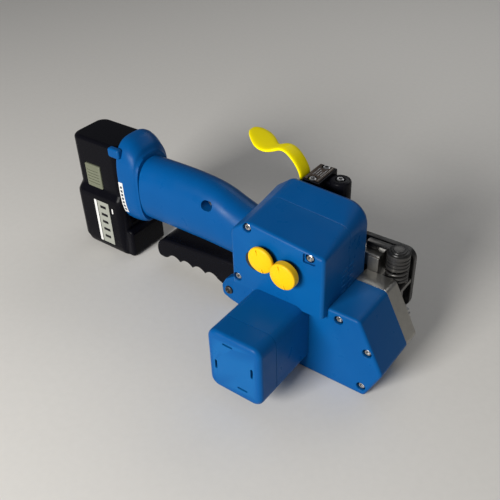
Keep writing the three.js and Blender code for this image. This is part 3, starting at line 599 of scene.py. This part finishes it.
def front_ribs():
    """Raised ribs low on the front face, where the real cover carries moulded marks."""
    low, high = span("main_cover")
    long, tall, proud = 8, 1.6, 0.55
    for row in range(5):
        z = low.z + 7 + 5.2 * row
        for column in range(2):
            y = 27.5 + 10.2 * column
            name = f"front_rib_{row + 1}_{column + 1}"
            outline = rectangle(y, y + long, z, z + tall)
            rib = block(name, outline, 0.75, high.x - 0.5, high.x + proud, 0, 0.45, "X", 3)
            piece(rib, "tool_body", "blue_plastic")


# ---------------- motor housing
MOTOR_SLOTS = [  # x from, x to, z from, z to
    (-52, -42.5, 63, 65),
    (-61, -59, 33.5, 43),
    (-26, -24, 42, 51.5),
    (-39.5, -30, 23, 25),
]


def motor_housing():
    low, high = span("motor_housing")
    corners = rectangle(low.x, high.x, low.z, high.z)
    radius, roll, seam, wall = 9, 4, low.y + 21, 3
    stations = edge_roll(low.y, roll, 1, 8)
    stations += [(seam - 0.3, 0), (seam - 0.2, 0.3), (seam + 0.2, 0.3), (seam + 0.3, 0)]
    stations += [(high.y, 0)]
    rings = [ring(rounded(corners, radius, inset, 9), at) for at, inset in stations]
    shell = loft("motor_housing_shell", rings)
    room = rectangle(low.x + wall, high.x - wall, low.z + wall, high.z - wall)
    cuts = [
        block("cavity", room, 7, low.y + wall, high.y + 9),
        block("relief", rectangle(-120, 20, 69.7, 90), 0.1, -GAP, 30, 0, 0),
    ]
    lip = 0.35
    for x0, x1, z0, z1 in MOTOR_SLOTS:
        cuts.append(block("slot", rectangle(x0, x1, z0, z1), 0.95, low.y - 1, low.y + 6, 0, 0))
        rim = rectangle(x0 - lip, x1 + lip, z0 - lip, z1 + lip)
        mouth = [ring(rounded(rim, 1.3, max(0, at)), low.y + at) for at in (-0.4, 0.4)]
        cuts.append(loft("rim", mouth))
    carve(shell, *cuts)
    return piece(shell, "tool_body", "blue_plastic", ["motor_housing"])


# ---------------- gear cover, frame and side plate
WEDGE_NOSE = {"foot": 36.8, "tip": 30.3, "top": 27.9}


def wedge(foot):
    """Outline of the gear case: flat top, slanted nose and a cut-back foot."""
    low, high = span("main_frame")
    return [
        (low.x, foot),
        (WEDGE_NOSE["foot"], foot),
        (high.x + 0.5, WEDGE_NOSE["tip"]),
        (WEDGE_NOSE["top"], high.z),
        (low.x, high.z),
    ]


def under_cover(clear):
    """Cutter for the room that the main cover takes out of the gear case."""
    low, high = span("main_cover")
    return block("room", rectangle(-200, high.x + clear, low.z - clear, 120), 0.1, -20, 130, 0, 0)


def gear_cover():
    low, high = span("gear_cover")
    corners = wedge(low.z)
    wall = 2.6
    shell = block("gear_cover_shell", corners, (5, 4, 5, 6, 5), low.y, high.y, wall, 0, steps=7)
    inner = rounded(corners, 5, wall)
    cavity = loft("cavity", [ring(inner, low.y + wall), ring(inner, high.y + 4)])
    carve(cavity, under_cover(GAP + wall))
    carve(shell, under_cover(GAP), cavity, *cover_recesses("gear_cover", low.y))
    return piece(shell, "tool_body", "blue_plastic", ["gear_cover"])


def bore(node, radius, reach=(40, 110)):
    """Cutter for a hole along Y on the axis of a CAD shaft."""
    centre = middle_of(node)
    return turned("bore", drum(radius, *reach), (centre.x, centre.z))


def main_frame():
    low, high = span("main_frame")
    body = block("main_frame_body", wedge(low.z), 5, low.y, high.y, 0.5, 0.5, steps=3)
    feed, hub = middle_of("feed_shaft"), middle_of("idler_shaft")
    web = 58.6  # near face of the web behind the gears
    carve(
        body,
        under_cover(GAP),
        block("link_groove", rectangle(low.x - 5, 4, 25, 38), 1, low.y - 1, web, 0, 0),
        turned("pocket", drum(14, low.y - 1, web), (hub.x, hub.z)),
        bore("idler_shaft", 9.6),
        bore("eccentric_shaft", 6),
        turned("window", drum(8.6, 40, 80), (feed.x + 1, feed.z + 2.2)),
    )
    softened(body, 0.35, 2, 50)
    return piece(body, "tool_body", "aluminium", ["main_frame"])


def bearing_block():
    low, high = span("bearing_block")
    foot = block("bearing_block_body", rectangle(0.6, high.x, low.z, 90), 1, low.y, high.y, 0.5, 0.5)
    head = block("head", rectangle(low.x, high.x, 79, high.z), 1.4, 70.6, high.y, 0.6, 0.6)
    fuse(foot, head)
    return piece(foot, "tool_body", "aluminium", ["bearing_block"])


def side_plate():
    low, high = span("side_plate")
    plate = block("side_plate_body", rectangle(low.x, high.x, low.z, high.z), 10, low.y, high.y, 0.9, 0.9)
    window = block("window", rectangle(6, 24, 46, 66), 4, low.y - 1, high.y + 1, 0, 0)
    carve(plate, window, bore("idler_shaft", 4.3, (80, 100)))
    softened(plate, 0.4, 2, 60)
    return piece(plate, "tool_body", "black_steel", ["side_plate"])


# ---------------- rocker spring and its cap
def rocker_spring():
    """Compression spring with closed ends, built at one fixed length; the real spring shortens as the
    rocker lifts.
    """
    low, high = span("rocker_spring")
    centre = (low + high) / 2
    wire, turns, steps = 1.3, 7, 30
    radius = (high.x - low.x) / 2 - wire
    rings = []
    total = turns * steps
    for i in range(total + 1):
        share = i / total
        turn = 2 * math.pi * turns * share
        eased = share - 0.045 * math.sin(2 * math.pi * share)
        height = low.z + wire + (high.z - low.z - 2 * wire) * eased
        outward = Vector((math.cos(turn), math.sin(turn), 0))
        middle = Vector((centre.x, centre.y, height)) + outward * radius
        section = oval((0, 0), wire, wire, 2, 12)
        rings.append([middle + outward * u + Vector((0, 0, v)) for u, v in section])
    spring = loft("rocker_spring_coil", rings)
    piece(spring, "tool_body", "black_steel", ["rocker_spring"])
    lift = 4.7
    share = 1 - lift / (high.z - low.z)
    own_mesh(spring)


def spring_cap():
    low, high = span("spring_cap")
    centre = (span("rocker_spring")[0] + span("rocker_spring")[1]) / 2
    top = high.z
    skirt = low.z - 9
    bore_radius, radius, groove_radius = 8.95, 9.8, 9.3
    profile = [(0, top - 3.1), (bore_radius, top - 3.1), (bore_radius, skirt)]
    profile += [(radius - 0.3, skirt), (radius, skirt + 0.4)]
    for depth in (13.5, 10, 6.5):
        foot = top - depth
        profile += [(radius, foot), (groove_radius, foot + 0.5)]
        profile += [(groove_radius, foot + 0.9), (radius, foot + 1.4)]
    profile += [(radius, top - 2.6), (groove_radius, top - 2)]
    for reach, rise in ((8.5, -1.6), (8.1, -0.8), (6.7, -0.5), (6.3, 0.2), (4.8, 0.4), (4.4, 0.9)):
        profile.append((reach, top + rise))
    profile.append((0, top + 1.1))
    cap = turned("spring_cap_dome", profile, (centre.x, centre.y), "Z", 48)
    near, far = centre.y - 1.5, centre.y + 5
    arm = block("arm", rectangle(low.x, centre.x, near, far), 2, top - 3.6, top - 1.2, 0.5, 0.5, "Z")
    foot = block("foot", rectangle(low.x, 4, near, far), 1, low.z, top - 2, 0, 0, "Z")
    fuse(cap, arm, foot)
    return piece(cap, "tool_body", "black_steel", ["spring_cap"])


# ---------------- weld press
LOBE = {"x": -40, "y": 90, "radius": 9.5, "top": 139}


def sealer_housing():
    low, high = span("sealer_housing")
    rear, front, far = -66, -49, high.y
    column = rectangle(rear, front, low.y, far)
    body = block("sealer_housing_body", column, 1.2, low.z, high.z, 0.6, 1, "Z")
    x, y, radius, top = LOBE["x"], LOBE["y"], LOBE["radius"], LOBE["top"]
    lobe_profile = [(0, low.z), (radius, low.z), (radius, top - 2.5)]
    lobe_profile += [(radius - 0.8, top - 0.8), (radius - 2.5, top), (0, top)]
    lobe = turned("lobe", lobe_profile, (x, y), "Z", 48)
    web_outline = rectangle(front - 1, x, y - 8.5, y + 8.5)
    web = block("web", web_outline, 0.5, low.z, top - 2, 0, 0.6, "Z")
    pin = middle_of("weld_lever_pin")
    cheek = rectangle(low.x + 2, rear + 1, pin.z - 10, pin.z + 6)
    near_cheek = block("cheek", cheek, 2.5, low.y, 74.7)
    far_cheek = block("cheek", cheek, 2.5, 89.3, far - 3)
    fuse(body, lobe, web, near_cheek, far_cheek)
    tools = [
        block("channel", rectangle(-63.2, -51.8, 76.6, 92.4), 0.5, low.z - 1, pin.z, 0, 0, "Z"),
        block("arm_window", rectangle(rear - 1, -62, pin.z - 26, pin.z - 5), 0.5, 76.6, 88.7, 0, 0),
        bore("weld_lever_pin", 3.3, (60, 110)),
    ]
    for site in ("sealer_screw_1", "sealer_screw_2", "sealer_screw_3"):
        centre = middle_of(site)
        head = span(site)[1].z
        tools.append(screw_recess((centre.x, centre.y), head - 0.6, head - 2.7, "Z"))
    carve(body, *tools)
    return piece(body, "tool_body", "black_plastic", ["sealer_housing"])


def screw_notches(margin):
    """Cutters round the two screws that hold the foil plate's corners."""
    made = []
    for site in ("sealer_screw_1", "sealer_screw_2"):
        centre = middle_of(site)
        post = drum(SCREW_HEAD + margin, 130, 150)
        made.append(turned("post", post, (centre.x, centre.y), "Z", 28))
    return made


def nameplate():
    """Blank foil plate: a painted highlight, a bright metal strip near its front edge where the lit front
    edge shows, and rows of plain dashes.
    """
    low, high = span("nameplate")
    foil = rectangle(low.x, high.x, low.y, high.y)
    plate = block("nameplate_foil", foil, 1, low.z, high.z - 0.2, 0, 0.15, "Z")
    carve(plate, *screw_notches(1.1))
    piece(plate, "tool_body", "nameplate", ["nameplate"])
    sunk = high.z - 0.25  # marks start just inside the foil
    # painted highlight: this bright aluminium strip stands for the light caught along the plate's front
    # edge
    edge = high.x - 1.7
    stripe = rectangle(edge, edge + 0.5, low.y + 1, high.y - 1)
    edge_highlight = block("nameplate_edge_highlight", stripe, 0.2, sunk, high.z, 0, 0, "Z")
    carve(edge_highlight, *screw_notches(1.6))
    piece(edge_highlight, "tool_body", "aluminium")
    for row in range(4):
        x = low.x + 3.4 + 2.3 * row
        start = low.y + 7.5 + 0.8 * (row % 2)
        end = high.y - 7 - 2.5 * (row % 3)
        outline = rectangle(x, x + 0.7, start, end)
        dash = block(f"nameplate_dash_{row + 1}", outline, 0.3, sunk, high.z, 0, 0, "Z")
        piece(dash, "tool_body", "steel")


# centre x, y, z, half width, half thickness and pitch in degrees
LEVER_SECTIONS = [
    (-72.5, 82, 114, 6.9, 2.4, 88),
    (-70, 81.5, 126, 7.1, 2, 86),
    (-68.5, 81, 136, 7.4, 1.6, 82),
    (-69, 80.6, 142.5, 7.5, 1.6, 64),
    (-73, 80.4, 149.8, 7.5, 1.6, 54),
    (-78, 80.3, 155.4, 7.5, 1.6, 42),
    (-82.5, 80.2, 158.7, 7.3, 1.6, 28),
    (-87.3, 79.8, 160, 6.7, 1.6, 6),
    (-91.5, 79, 159.2, 5.7, 1.7, -20),
    (-95.5, 78.4, 157.2, 5.5, 1.8, -20),
    (-100.5, 78.8, 156.2, 9.2, 1.9, -4),
    (-106, 81.2, 156.2, 12.2, 2, 0),
    (-112, 84, 156.6, 13.6, 2, 4),
    (-118, 87, 157, 13, 2, 4),
    (-124.5, 90.6, 157.5, 10.7, 2, 4),
    (-130, 92.8, 157.8, 7.8, 1.8, 4),
    (-134, 94.4, 158, 3.4, 1.2, 4),
]


def weld_lever():
    """Thumb lever: a strap that rises from its cam, narrows to a neck and ends in an oval pad."""
    rings = []
    for x, y, z, half_width, half_thick, pitch in LEVER_SECTIONS:
        tilt = math.radians(pitch)
        up = Vector((math.sin(tilt), 0, math.cos(tilt)))
        section = oval((0, 0), half_width, half_thick, 3.2, 20)
        rings.append([Vector((x, y + u, z)) + up * v for u, v in section])
    strap = subdivided(loft("weld_lever_strap", rings), 2)
    pin = middle_of("weld_lever_pin")
    near, far, offset = 75, 89, 7.1
    web = rectangle(pin.x - offset, pin.x, pin.z - 6, pin.z + 6)
    fuse(
        strap,
        turned("disc", chamfered(7.5, near, far, 0.5), (pin.x - offset, pin.z)),
        turned("eye", chamfered(6, near, far, 0.4), (pin.x, pin.z)),
        block("web", web, 0.3, near, far, 0.4, 0.4),
    )
    carve(strap, bore("weld_lever_pin", 3.3, (60, 110)))
    return piece(strap, "weld_lever", "yellow_plastic", ["weld_lever"])


# ---------------- grip
GRIP_STATIONS = [  # share of the length from the front, half width, bottom, top
    (0.0, 22.5, 47, 113),
    (0.034, 21.5, 47.5, 104.5),
    (0.09, 21, 48, 99.5),
    (0.167, 21, 48.5, 99.8),
    (0.265, 21, 49, 105),
    (0.377, 21, 49.5, 111.5),
    (0.503, 21, 50, 115),
    (0.671, 21, 50, 116.5),
    (0.839, 21, 50, 116.5),
    (1.0, 21.5, 50, 116),
]
GRIP_Y = 62


def catmull(p, q, r, u, t):
    """Catmull-Rom value between q and r, at share t of the gap."""
    linear = (r - p) * t
    squared = (2 * p - 5 * q + 4 * r - u) * t * t
    cubed = (3 * q - p - 3 * r + u) * t**3
    return 0.5 * (2 * q + linear + squared + cubed)


def smooth_between(rows, count):
    """Catmull-Rom rows through the given rows of numbers, count to each gap."""
    made = []
    last = len(rows) - 1
    for i in range(last):
        four = rows[max(i - 1, 0)], rows[i], rows[i + 1], rows[min(i + 2, last)]
        for s in range(count):
            made.append(tuple(catmull(*values, s / count) for values in zip(*four)))
    return made + [tuple(rows[-1])]


def grip_body(name, inset=0.0, extra=0.0):
    low, high = span("handle_near_half")
    rings = []
    for share, half_width, bottom, top in smooth_between(GRIP_STATIONS, 5):
        x = high.x + (low.x - high.x) * share
        centre, half_height = (GRIP_Y, (bottom + top) / 2), (top - bottom) / 2
        outline = oval(centre, half_width - inset, half_height - inset, 2.3, 64)
        rings.append(ring(outline, x, "X"))
    for point in rings[0]:
        point.x -= inset
    for point in rings[-1]:
        point.x -= extra
    return loft(name, rings)


def grip_halves():
    screw = middle_of("handle_screw")
    for node, y0, y1 in (
        ("handle_near_half", 20, GRIP_Y - GAP / 2),
        ("handle_far_half", GRIP_Y + GAP / 2, 110),
    ):
        half = grip_body(node + "_shell")
        carve(half, grip_body("cavity", 2.6, 6))
        fuse(half, turned("boss", drum(5, 46, 78), (screw.x, screw.z)))
        mouth = rectangle(screw.x - 6, screw.x + 6, screw.z - 4.6, screw.z + 4.6)
        recess = block("recess", mouth, 4.5, 30, span("handle_screw")[0].y + 3.3, 0, 0)
        carve(half, recess, turned("shank", drum(1.8, 45, 80), (screw.x, screw.z)))
        keep = block("keep", rectangle(-300, 0, 0, 200), 0.1, y0, y1, 0, 0)
        boolean(half, [keep], "INTERSECT")
        softened(half, 0.3, 2, 50)
        piece(half, "tool_body", "blue_plastic", [node], smooth=40)


# ---------------- collar
COLLAR_SECTIONS = [  # share of the length from the front, half width, half height, centre y, z
    (0.0, 22.4, 35.2, 62.5, 83.5),
    (0.07, 22.9, 36.6, 62.7, 84),
    (0.13, 23.6, 38.2, 63, 84.6),
    (0.17, 25, 40.6, 63.8, 85.6),
    (0.3, 25.7, 42.3, 64.3, 86.2),
    (0.42, 26.4, 43.8, 64.9, 86.9),
    (0.58, 27, 45.2, 65.5, 87.5),
    (0.78, 27.5, 46, 66, 88),
    (0.93, 27.4, 45.9, 66, 88),
    (0.985, 27, 45.5, 66, 88),
    (1.0, 26.4, 44.9, 66, 88),
]


def handle_collar():
    low, high = span("handle_collar")
    rings = []
    for share, half_width, half_height, y, z in COLLAR_SECTIONS:
        x = high.x + (low.x - high.x) * share
        rings.append(ring(oval((y, z), half_width, half_height, 3, 72), x, "X"))
    collar = loft("handle_collar_shell", rings)
    opening = oval((GRIP_Y, 81.5), 17.5, 29, 2.3, 48)
    carve(collar, loft("bore", [ring(opening, x, "X") for x in (high.x + 5, low.x - 5)]))
    softened(collar, 0.4, 2, 60)
    return piece(collar, "tool_body", "blue_plastic", ["handle_collar"], smooth=45)


# ---------------- finger lever and its bracket
def finger_lever():
    low, high = span("finger_lever")
    pin = middle_of("lever_pin")
    outline = [(-117, 43.5), (-160, 41.5), (-203, 38)]
    outline += arc_points((-203, 38), (-220, 37), (-221.5, 24), 8)
    outline += arc_points((-221.5, 24), (-222, 14), (-216, 14), 6)
    outline += arc_points((-216, 14), (-211, 13), (-208, 15.5), 4)
    scallop, edge = 16, 15.5  # width of one finger scallop, height of the ridges between them
    for i in range(4):
        x = -208 + scallop * i
        outline += arc_points((x, edge), (x + scallop / 2, 24), (x + scallop, edge), 8)
    outline += [(-135, 11.5), (pin.x - 4, pin.z - 9), (pin.x + 7, pin.z - 6)]
    stations = rolled(low.y, high.y, 2.6, 2.6, 4)
    lever = loft("finger_lever_body", [ring(shrunk(outline, inset), at) for at, inset in stations])
    carve(lever, bore("lever_pin", 4.3, (20, 110)))
    return piece(lever, "finger_lever", "black_plastic", ["finger_lever"], smooth=38)


def arc_points(start, control, end, count):
    """Points along a quadratic curve, without its start."""
    points = []
    corners = list(zip(start, control, end))
    for s in range(1, count + 1):
        t = s / count
        points.append(tuple((1 - t) ** 2 * a + 2 * t * (1 - t) * c + t * t * b for a, c, b in corners))
    return points


def shrunk(outline, inset):
    """An outline moved inwards by inset along the average normal at each point."""
    points = [Vector(point) for point in outline]
    area = sum(a.x * b.y - b.x * a.y for a, b in zip(points, points[1:] + points[:1]))
    side = math.copysign(1, area)
    made = []
    for i, here in enumerate(points):
        before = (here - points[i - 1]).normalized()
        after = (points[(i + 1) % len(points)] - here).normalized()
        along = before + after
        normal = Vector((-along.y, along.x)).normalized() * side
        stretch = 1 / max(0.5, normal.dot(Vector((-before.y, before.x)) * side))
        made.append(tuple(here + normal * (inset * stretch)))
    return made


def lever_bracket():
    low, high = span("lever_bracket")
    frame_rear = span("main_frame")[0].x - GAP
    top = span("main_cover")[0].z - 2 * GAP
    lever_low, lever_high = span("finger_lever")
    outline = [(frame_rear, 2), (frame_rear, top), (-88, top), (-88, 46.4), (-104, 46.4)]
    outline += [(-126, 31), (low.x, 22), (-130, 12), (-122, 8.5), (-100, 3)]
    radii = [0.5, 0.5, 1, 4, 4, 6, 5, 4, 6, 3]
    bracket = block("lever_bracket_body", outline, radii, low.y, high.y, 1.2, 0.6, steps=4)
    carve(
        bracket,
        block("slot", rectangle(-140, -104, -5, 60), 1, lever_low.y - GAP, lever_high.y + GAP, 0, 0),
        block("toe", rectangle(-140, -70, 28, 38), 0.5, 52, 58.6, 0, 0),
        block("relief", rectangle(-93, -60, -5, 12.3), 0.1, 68.6, 100, 0, 0),
        bore("lever_pin", 4.3, (20, 110)),
    )
    softened(bracket, 0.4, 2, 55)
    return piece(bracket, "tool_body", "blue_plastic", ["lever_bracket"])


def lever_pin():
    low, high = span("lever_pin")
    centre = (low + high) / 2
    near, far, radius, edge = low.y, high.y, 4, 0.6
    profile = [(0, near + 0.3), (1.6, near + 0.3), (2.2, near)]
    profile += chamfered(radius, near, far, edge)[1:]
    pin = turned("lever_pin_body", profile, (centre.x, centre.z), "Y", 36)
    return piece(pin, "tool_body", "black_steel", ["lever_pin"])


# ---------------- push buttons
def push_button(use):
    """Domed amber cap with a fine moulding ridge across it, on its stem."""
    low, high = span(use + "_button")
    centre = (low + high) / 2
    radius = (high.x - low.x) / 2
    profile = [(0, low.y)]
    profile += [(radius * 0.94 * s / 8, low.y + 1.7 * (s / 8) ** 2.4) for s in range(1, 9)]
    profile += [(radius * 0.985, low.y + 2.3), (radius, low.y + 3.1)]
    skirt = -4.5
    profile += [(radius, skirt - 0.3), (radius - 0.4, skirt)]
    profile += [(5, skirt), (5, high.y), (0, high.y)]
    cap = turned(use + "_button_cap", profile, (centre.x, centre.z), "Y", 64)
    lean = math.radians(18)
    along = Vector((-math.sin(lean), math.cos(lean)))
    across = Vector((along.y, -along.x))
    middle = Vector((centre.x, centre.z))
    reach, half = along * (radius * 0.86), across * 0.45
    corners = [middle + reach * s + half * w for s, w in ((-1, -1), (-1, 1), (1, 1), (1, -1))]
    ridge = block("ridge", corners, 0.4, low.y + 0.2, low.y + 3, 0.15, 0, steps=2)
    fuse(cap, ridge)
    return piece(cap, use + "_button", "amber_plastic", [use + "_button"], smooth=40)


def button_boot(use):
    low, high = span(use + "_boot")
    centre = (low + high) / 2
    radius = (high.x - low.x) / 2
    hole, groove = 5.6, low.y + 0.4
    section = [(hole, high.y), (radius, high.y), (radius, groove), (radius - 0.4, low.y)]
    section += [(7.5, low.y), (7.1, groove), (6.7, groove), (6.3, low.y), (hole, low.y)]
    boot = torus_of(use + "_boot_ring", section, (centre.x, centre.z))
    return piece(boot, "tool_body", "rubber", [use + "_boot"])


def offset_dark_disc():
    """Dark disc in the boot rubber, set off rearward and downward from the first button, so that a
    crescent of it shows below and behind the cap.
    """
    low, high = span("tension_boot")
    centre = (low + high) / 2
    rearward, down = 10, 8.5
    profile = [(0, low.y + 0.2), (7.8, low.y + 0.2), (8.6, low.y + 0.6), (9, high.y), (0, high.y)]
    pad = turned("tension_offset_dark_disc", profile, (centre.x - rearward, centre.z - down), "Y", 48)
    carve(pad, turned("post", drum(5.4, low.y - 2, high.y + 2), (centre.x, centre.z)))
    return piece(pad, "tool_body", "rubber")


def torus_of(name, section, centre, sides=48):
    """A closed section of (radius, place along Y) swung round an axis along Y."""
    made = bmesh.new()
    rows = []
    for i in range(sides):
        a = 2 * math.pi * i / sides
        u, v = math.cos(a), math.sin(a)
        rows.append([made.verts.new((centre[0] + r * u, at, centre[1] + r * v)) for r, at in section])
    count = len(section)
    for i in range(sides):
        low, high = rows[i], rows[(i + 1) % sides]
        for k in range(count):
            m = (k + 1) % count
            made.faces.new((low[k], low[m], high[m], high[k]))
    return new_object(name, made)


# ---------------- battery
BATTERY = {"shoulder": 68, "lower": (37, 91), "upper": (42, 87), "front": -257.3, "corner": 9}


def battery_case():
    low, high = span("battery_case")
    front, corner = BATTERY["front"], BATTERY["corner"]
    lower, upper = BATTERY["lower"], BATTERY["upper"]
    shoulder, top = BATTERY["shoulder"], high.z
    stations = [  # z, then how far the near, far and rear sides stand in, and the corner radius
        (0, 4.5, 4.5, 5.5, corner - 2),
        (0.8, 3.4, 3.4, 4.2, corner - 1),
        (3, 1.9, 1.9, 2.3, corner),
        (10, 0, 0, 0, corner),
        (30, 0, 0, 0, corner),
        (shoulder - 8, 0, 0, 0, corner),
        (shoulder - 4.5, 0.3, 0.3, 0.2, corner),
        (shoulder - 2, 1.4, 1.2, 0.9, corner),
        (shoulder + 2, 3.8, 2.9, 2.2, corner),
    ]
    near_in, far_in, rear_in = upper[0] - lower[0], lower[1] - upper[1], 3
    rises = [(shoulder + 4.5, 0), (shoulder + 8, 0), (top - 20, 0)] + edge_roll(top, 4, -1)[::-1]
    for z, inset in rises:
        stations.append((z, near_in + inset, far_in + inset, rear_in + inset, corner))
    rings = []
    for z, near, far, rear, radius in stations:
        sides = rectangle(low.x + rear, front, lower[0] + near, lower[1] - far)
        rings.append(ring(rounded(sides, radius, 0, 8), z, "Z"))
    case = loft("battery_case_shell", rings)
    tongue = rectangle(front - 10, high.x, 0, 32)
    foot = block("foot", tongue, 5, lower[0] + 4, lower[1] - 4, 2.5, 2.5)
    fuse(case, foot)
    cuts = []
    for node in ("battery_latch_near", "battery_latch_far"):
        first, last = span(node)
        outline = rectangle(first.x - 0.5, last.x + 0.5, first.z - 0.5, last.z + 0.5)
        cuts.append(block("latch_well", outline, 1.6, first.y - 2.5, last.y + 2.5, 0, 0))
    carve(case, *cuts)
    return piece(case, "battery", "black_plastic", ["battery_case"], smooth=40)


def battery_marks():
    """Plain label strips with dashes low on the near side, and three bright pins on top."""
    top = span("battery_case")[1].z
    near = BATTERY["lower"][0]
    strips = [  # name, x from, x to, z from, z to, slot
        ("stripe", -296, -292.6, 9.5, 60, "white_print"),
        ("strip", -291.6, -275.5, 9.5, 60, "grey_print"),
        ("tick", -271.5, -269.8, 50, 56, "white_print"),
    ]
    for name, x0, x1, z0, z1, finish in strips:
        strip = block("battery_" + name, rectangle(x0, x1, z0, z1), 0.7, near - 0.2, near + 0.4, 0, 0)
        piece(strip, "battery", "black_plastic", material=PRINT[finish])
    for row in range(5):
        z = 16 + 9 * row
        outline = rectangle(-288, -280 + row % 2, z, z + 3.2)
        dash = block(f"battery_dash_{row + 1}", outline, 0.6, near - 0.3, near, 0, 0)
        piece(dash, "battery", "black_plastic")
    for row in range(3):
        pin = [(0, top - 1), (0.9, top - 1), (0.9, top - 0.2), (0.6, top), (0, top)]
        dot = turned(f"battery_pin_{row + 1}", pin, (-263, 62 + 5.5 * row), "Z", 16)
        piece(dot, "battery", "steel")


def collar_band(name, x0, x1, z0, z1, proud, finish):
    """A thin band that follows the curve of the collar's near side between two heights."""
    half_width, half_height, centre_y, centre_z = COLLAR_SECTIONS[-3][1:]
    section = rectangle(x0, x1, -proud, 0.8)
    rings = []
    for s in range(13):
        z = z0 + (z1 - z0) * s / 12
        reach = (1 - abs((z - centre_z) / half_height) ** 3) ** (1 / 3)
        y = centre_y - half_width * reach
        rings.append([Vector((x, y + depth, z)) for x, depth in section])
    piece(loft(name, rings), "tool_body", "blue_plastic", material=PRINT[finish])


def collar_trim():
    """Side tongue of the collar and a plain pale strip with dashes round its near side."""
    tongue = block("collar_tongue", rectangle(-265, -250, 117, 127), 3, 38.6, 44, 1.8, 1)
    piece(tongue, "tool_body", "blue_plastic")
    collar_band("collar_strip_1", -256, -250.6, 57, 92, 0.25, "white_print")
    count, first, last = 7, 59.5, 89.5
    step = (last - first) / count
    for i in range(count):
        z = first + step * i
        collar_band(f"collar_dash_{i + 1}", -254.6, -252, z, z + 0.6 * step, 0.4, "dark_print")


def battery_latch(side):
    """Slide latch with a frame round a ribbed thumb pad."""
    node = "battery_latch_" + side
    low, high = span(node)
    outward = -1 if side == "near" else 1
    face = low.y if outward < 0 else high.y
    start, end = sorted((face, face - outward * 7))
    roll = (0.8, 0) if outward < 0 else (0, 0.8)
    latch = block(node + "_pad", rectangle(low.x, high.x, low.z, high.z), 1.5, start, end, *roll)
    grooves = []
    for i in range(5):
        z = low.z + 5 + 3.4 * i
        groove = rectangle(low.x + 2.5, high.x - 2.5, z, z + 1.2)
        at = sorted((face + outward, face - outward * 0.6))
        grooves.append(block("groove", groove, 0.5, *at, 0, 0))
    carve(latch, *grooves)
    return piece(latch, "latch_" + side, "latch_plastic", [node])


# ---------------- carried-over CAD nodes
def dress_cad_nodes():
    """Gives each CAD node its finish, and a fine bevel on its sharp edges."""
    slots = {part["node"]: part["material_slot"] for part in frame["record"]["subparts"]}
    for name, node in frame["nodes"].items():
        node.data.materials.clear()
        node.data.materials.append(MATERIALS[slots[name]])
        node.data.polygons.foreach_set("use_smooth", [True] * len(node.data.polygons))
        merge = node.modifiers.new("merge", "WELD")
        merge.merge_threshold = 1e-6
        bevel = node.modifiers.new("edges", "BEVEL")
        bevel.width, bevel.segments = 0.0002, 1
        bevel.limit_method, bevel.angle_limit = "ANGLE", math.radians(42)
        node.modifiers.new("even_normals", "WEIGHTED_NORMAL")


make_camera()
make_studio()
make_floor()
dress_cad_nodes()
main_cover()
front_ribs()
motor_housing()
gear_cover()
main_frame()
bearing_block()
side_plate()
rocker_spring()
spring_cap()
sealer_housing()
nameplate()
weld_lever()
grip_halves()
handle_collar()
finger_lever()
lever_bracket()
lever_pin()
battery_case()
battery_marks()
collar_trim()
offset_dark_disc()
for use in ("tension", "weld"):
    push_button(use)
    button_boot(use)
for side in ("near", "far"):
    battery_latch(side)
for number in (1, 2, 3):
    cap_screw(f"cover_screw_{number}")
    cap_screw(f"gear_cover_screw_{number}")
    cap_screw(f"sealer_screw_{number}", "Z", -1)
cap_screw("handle_screw")
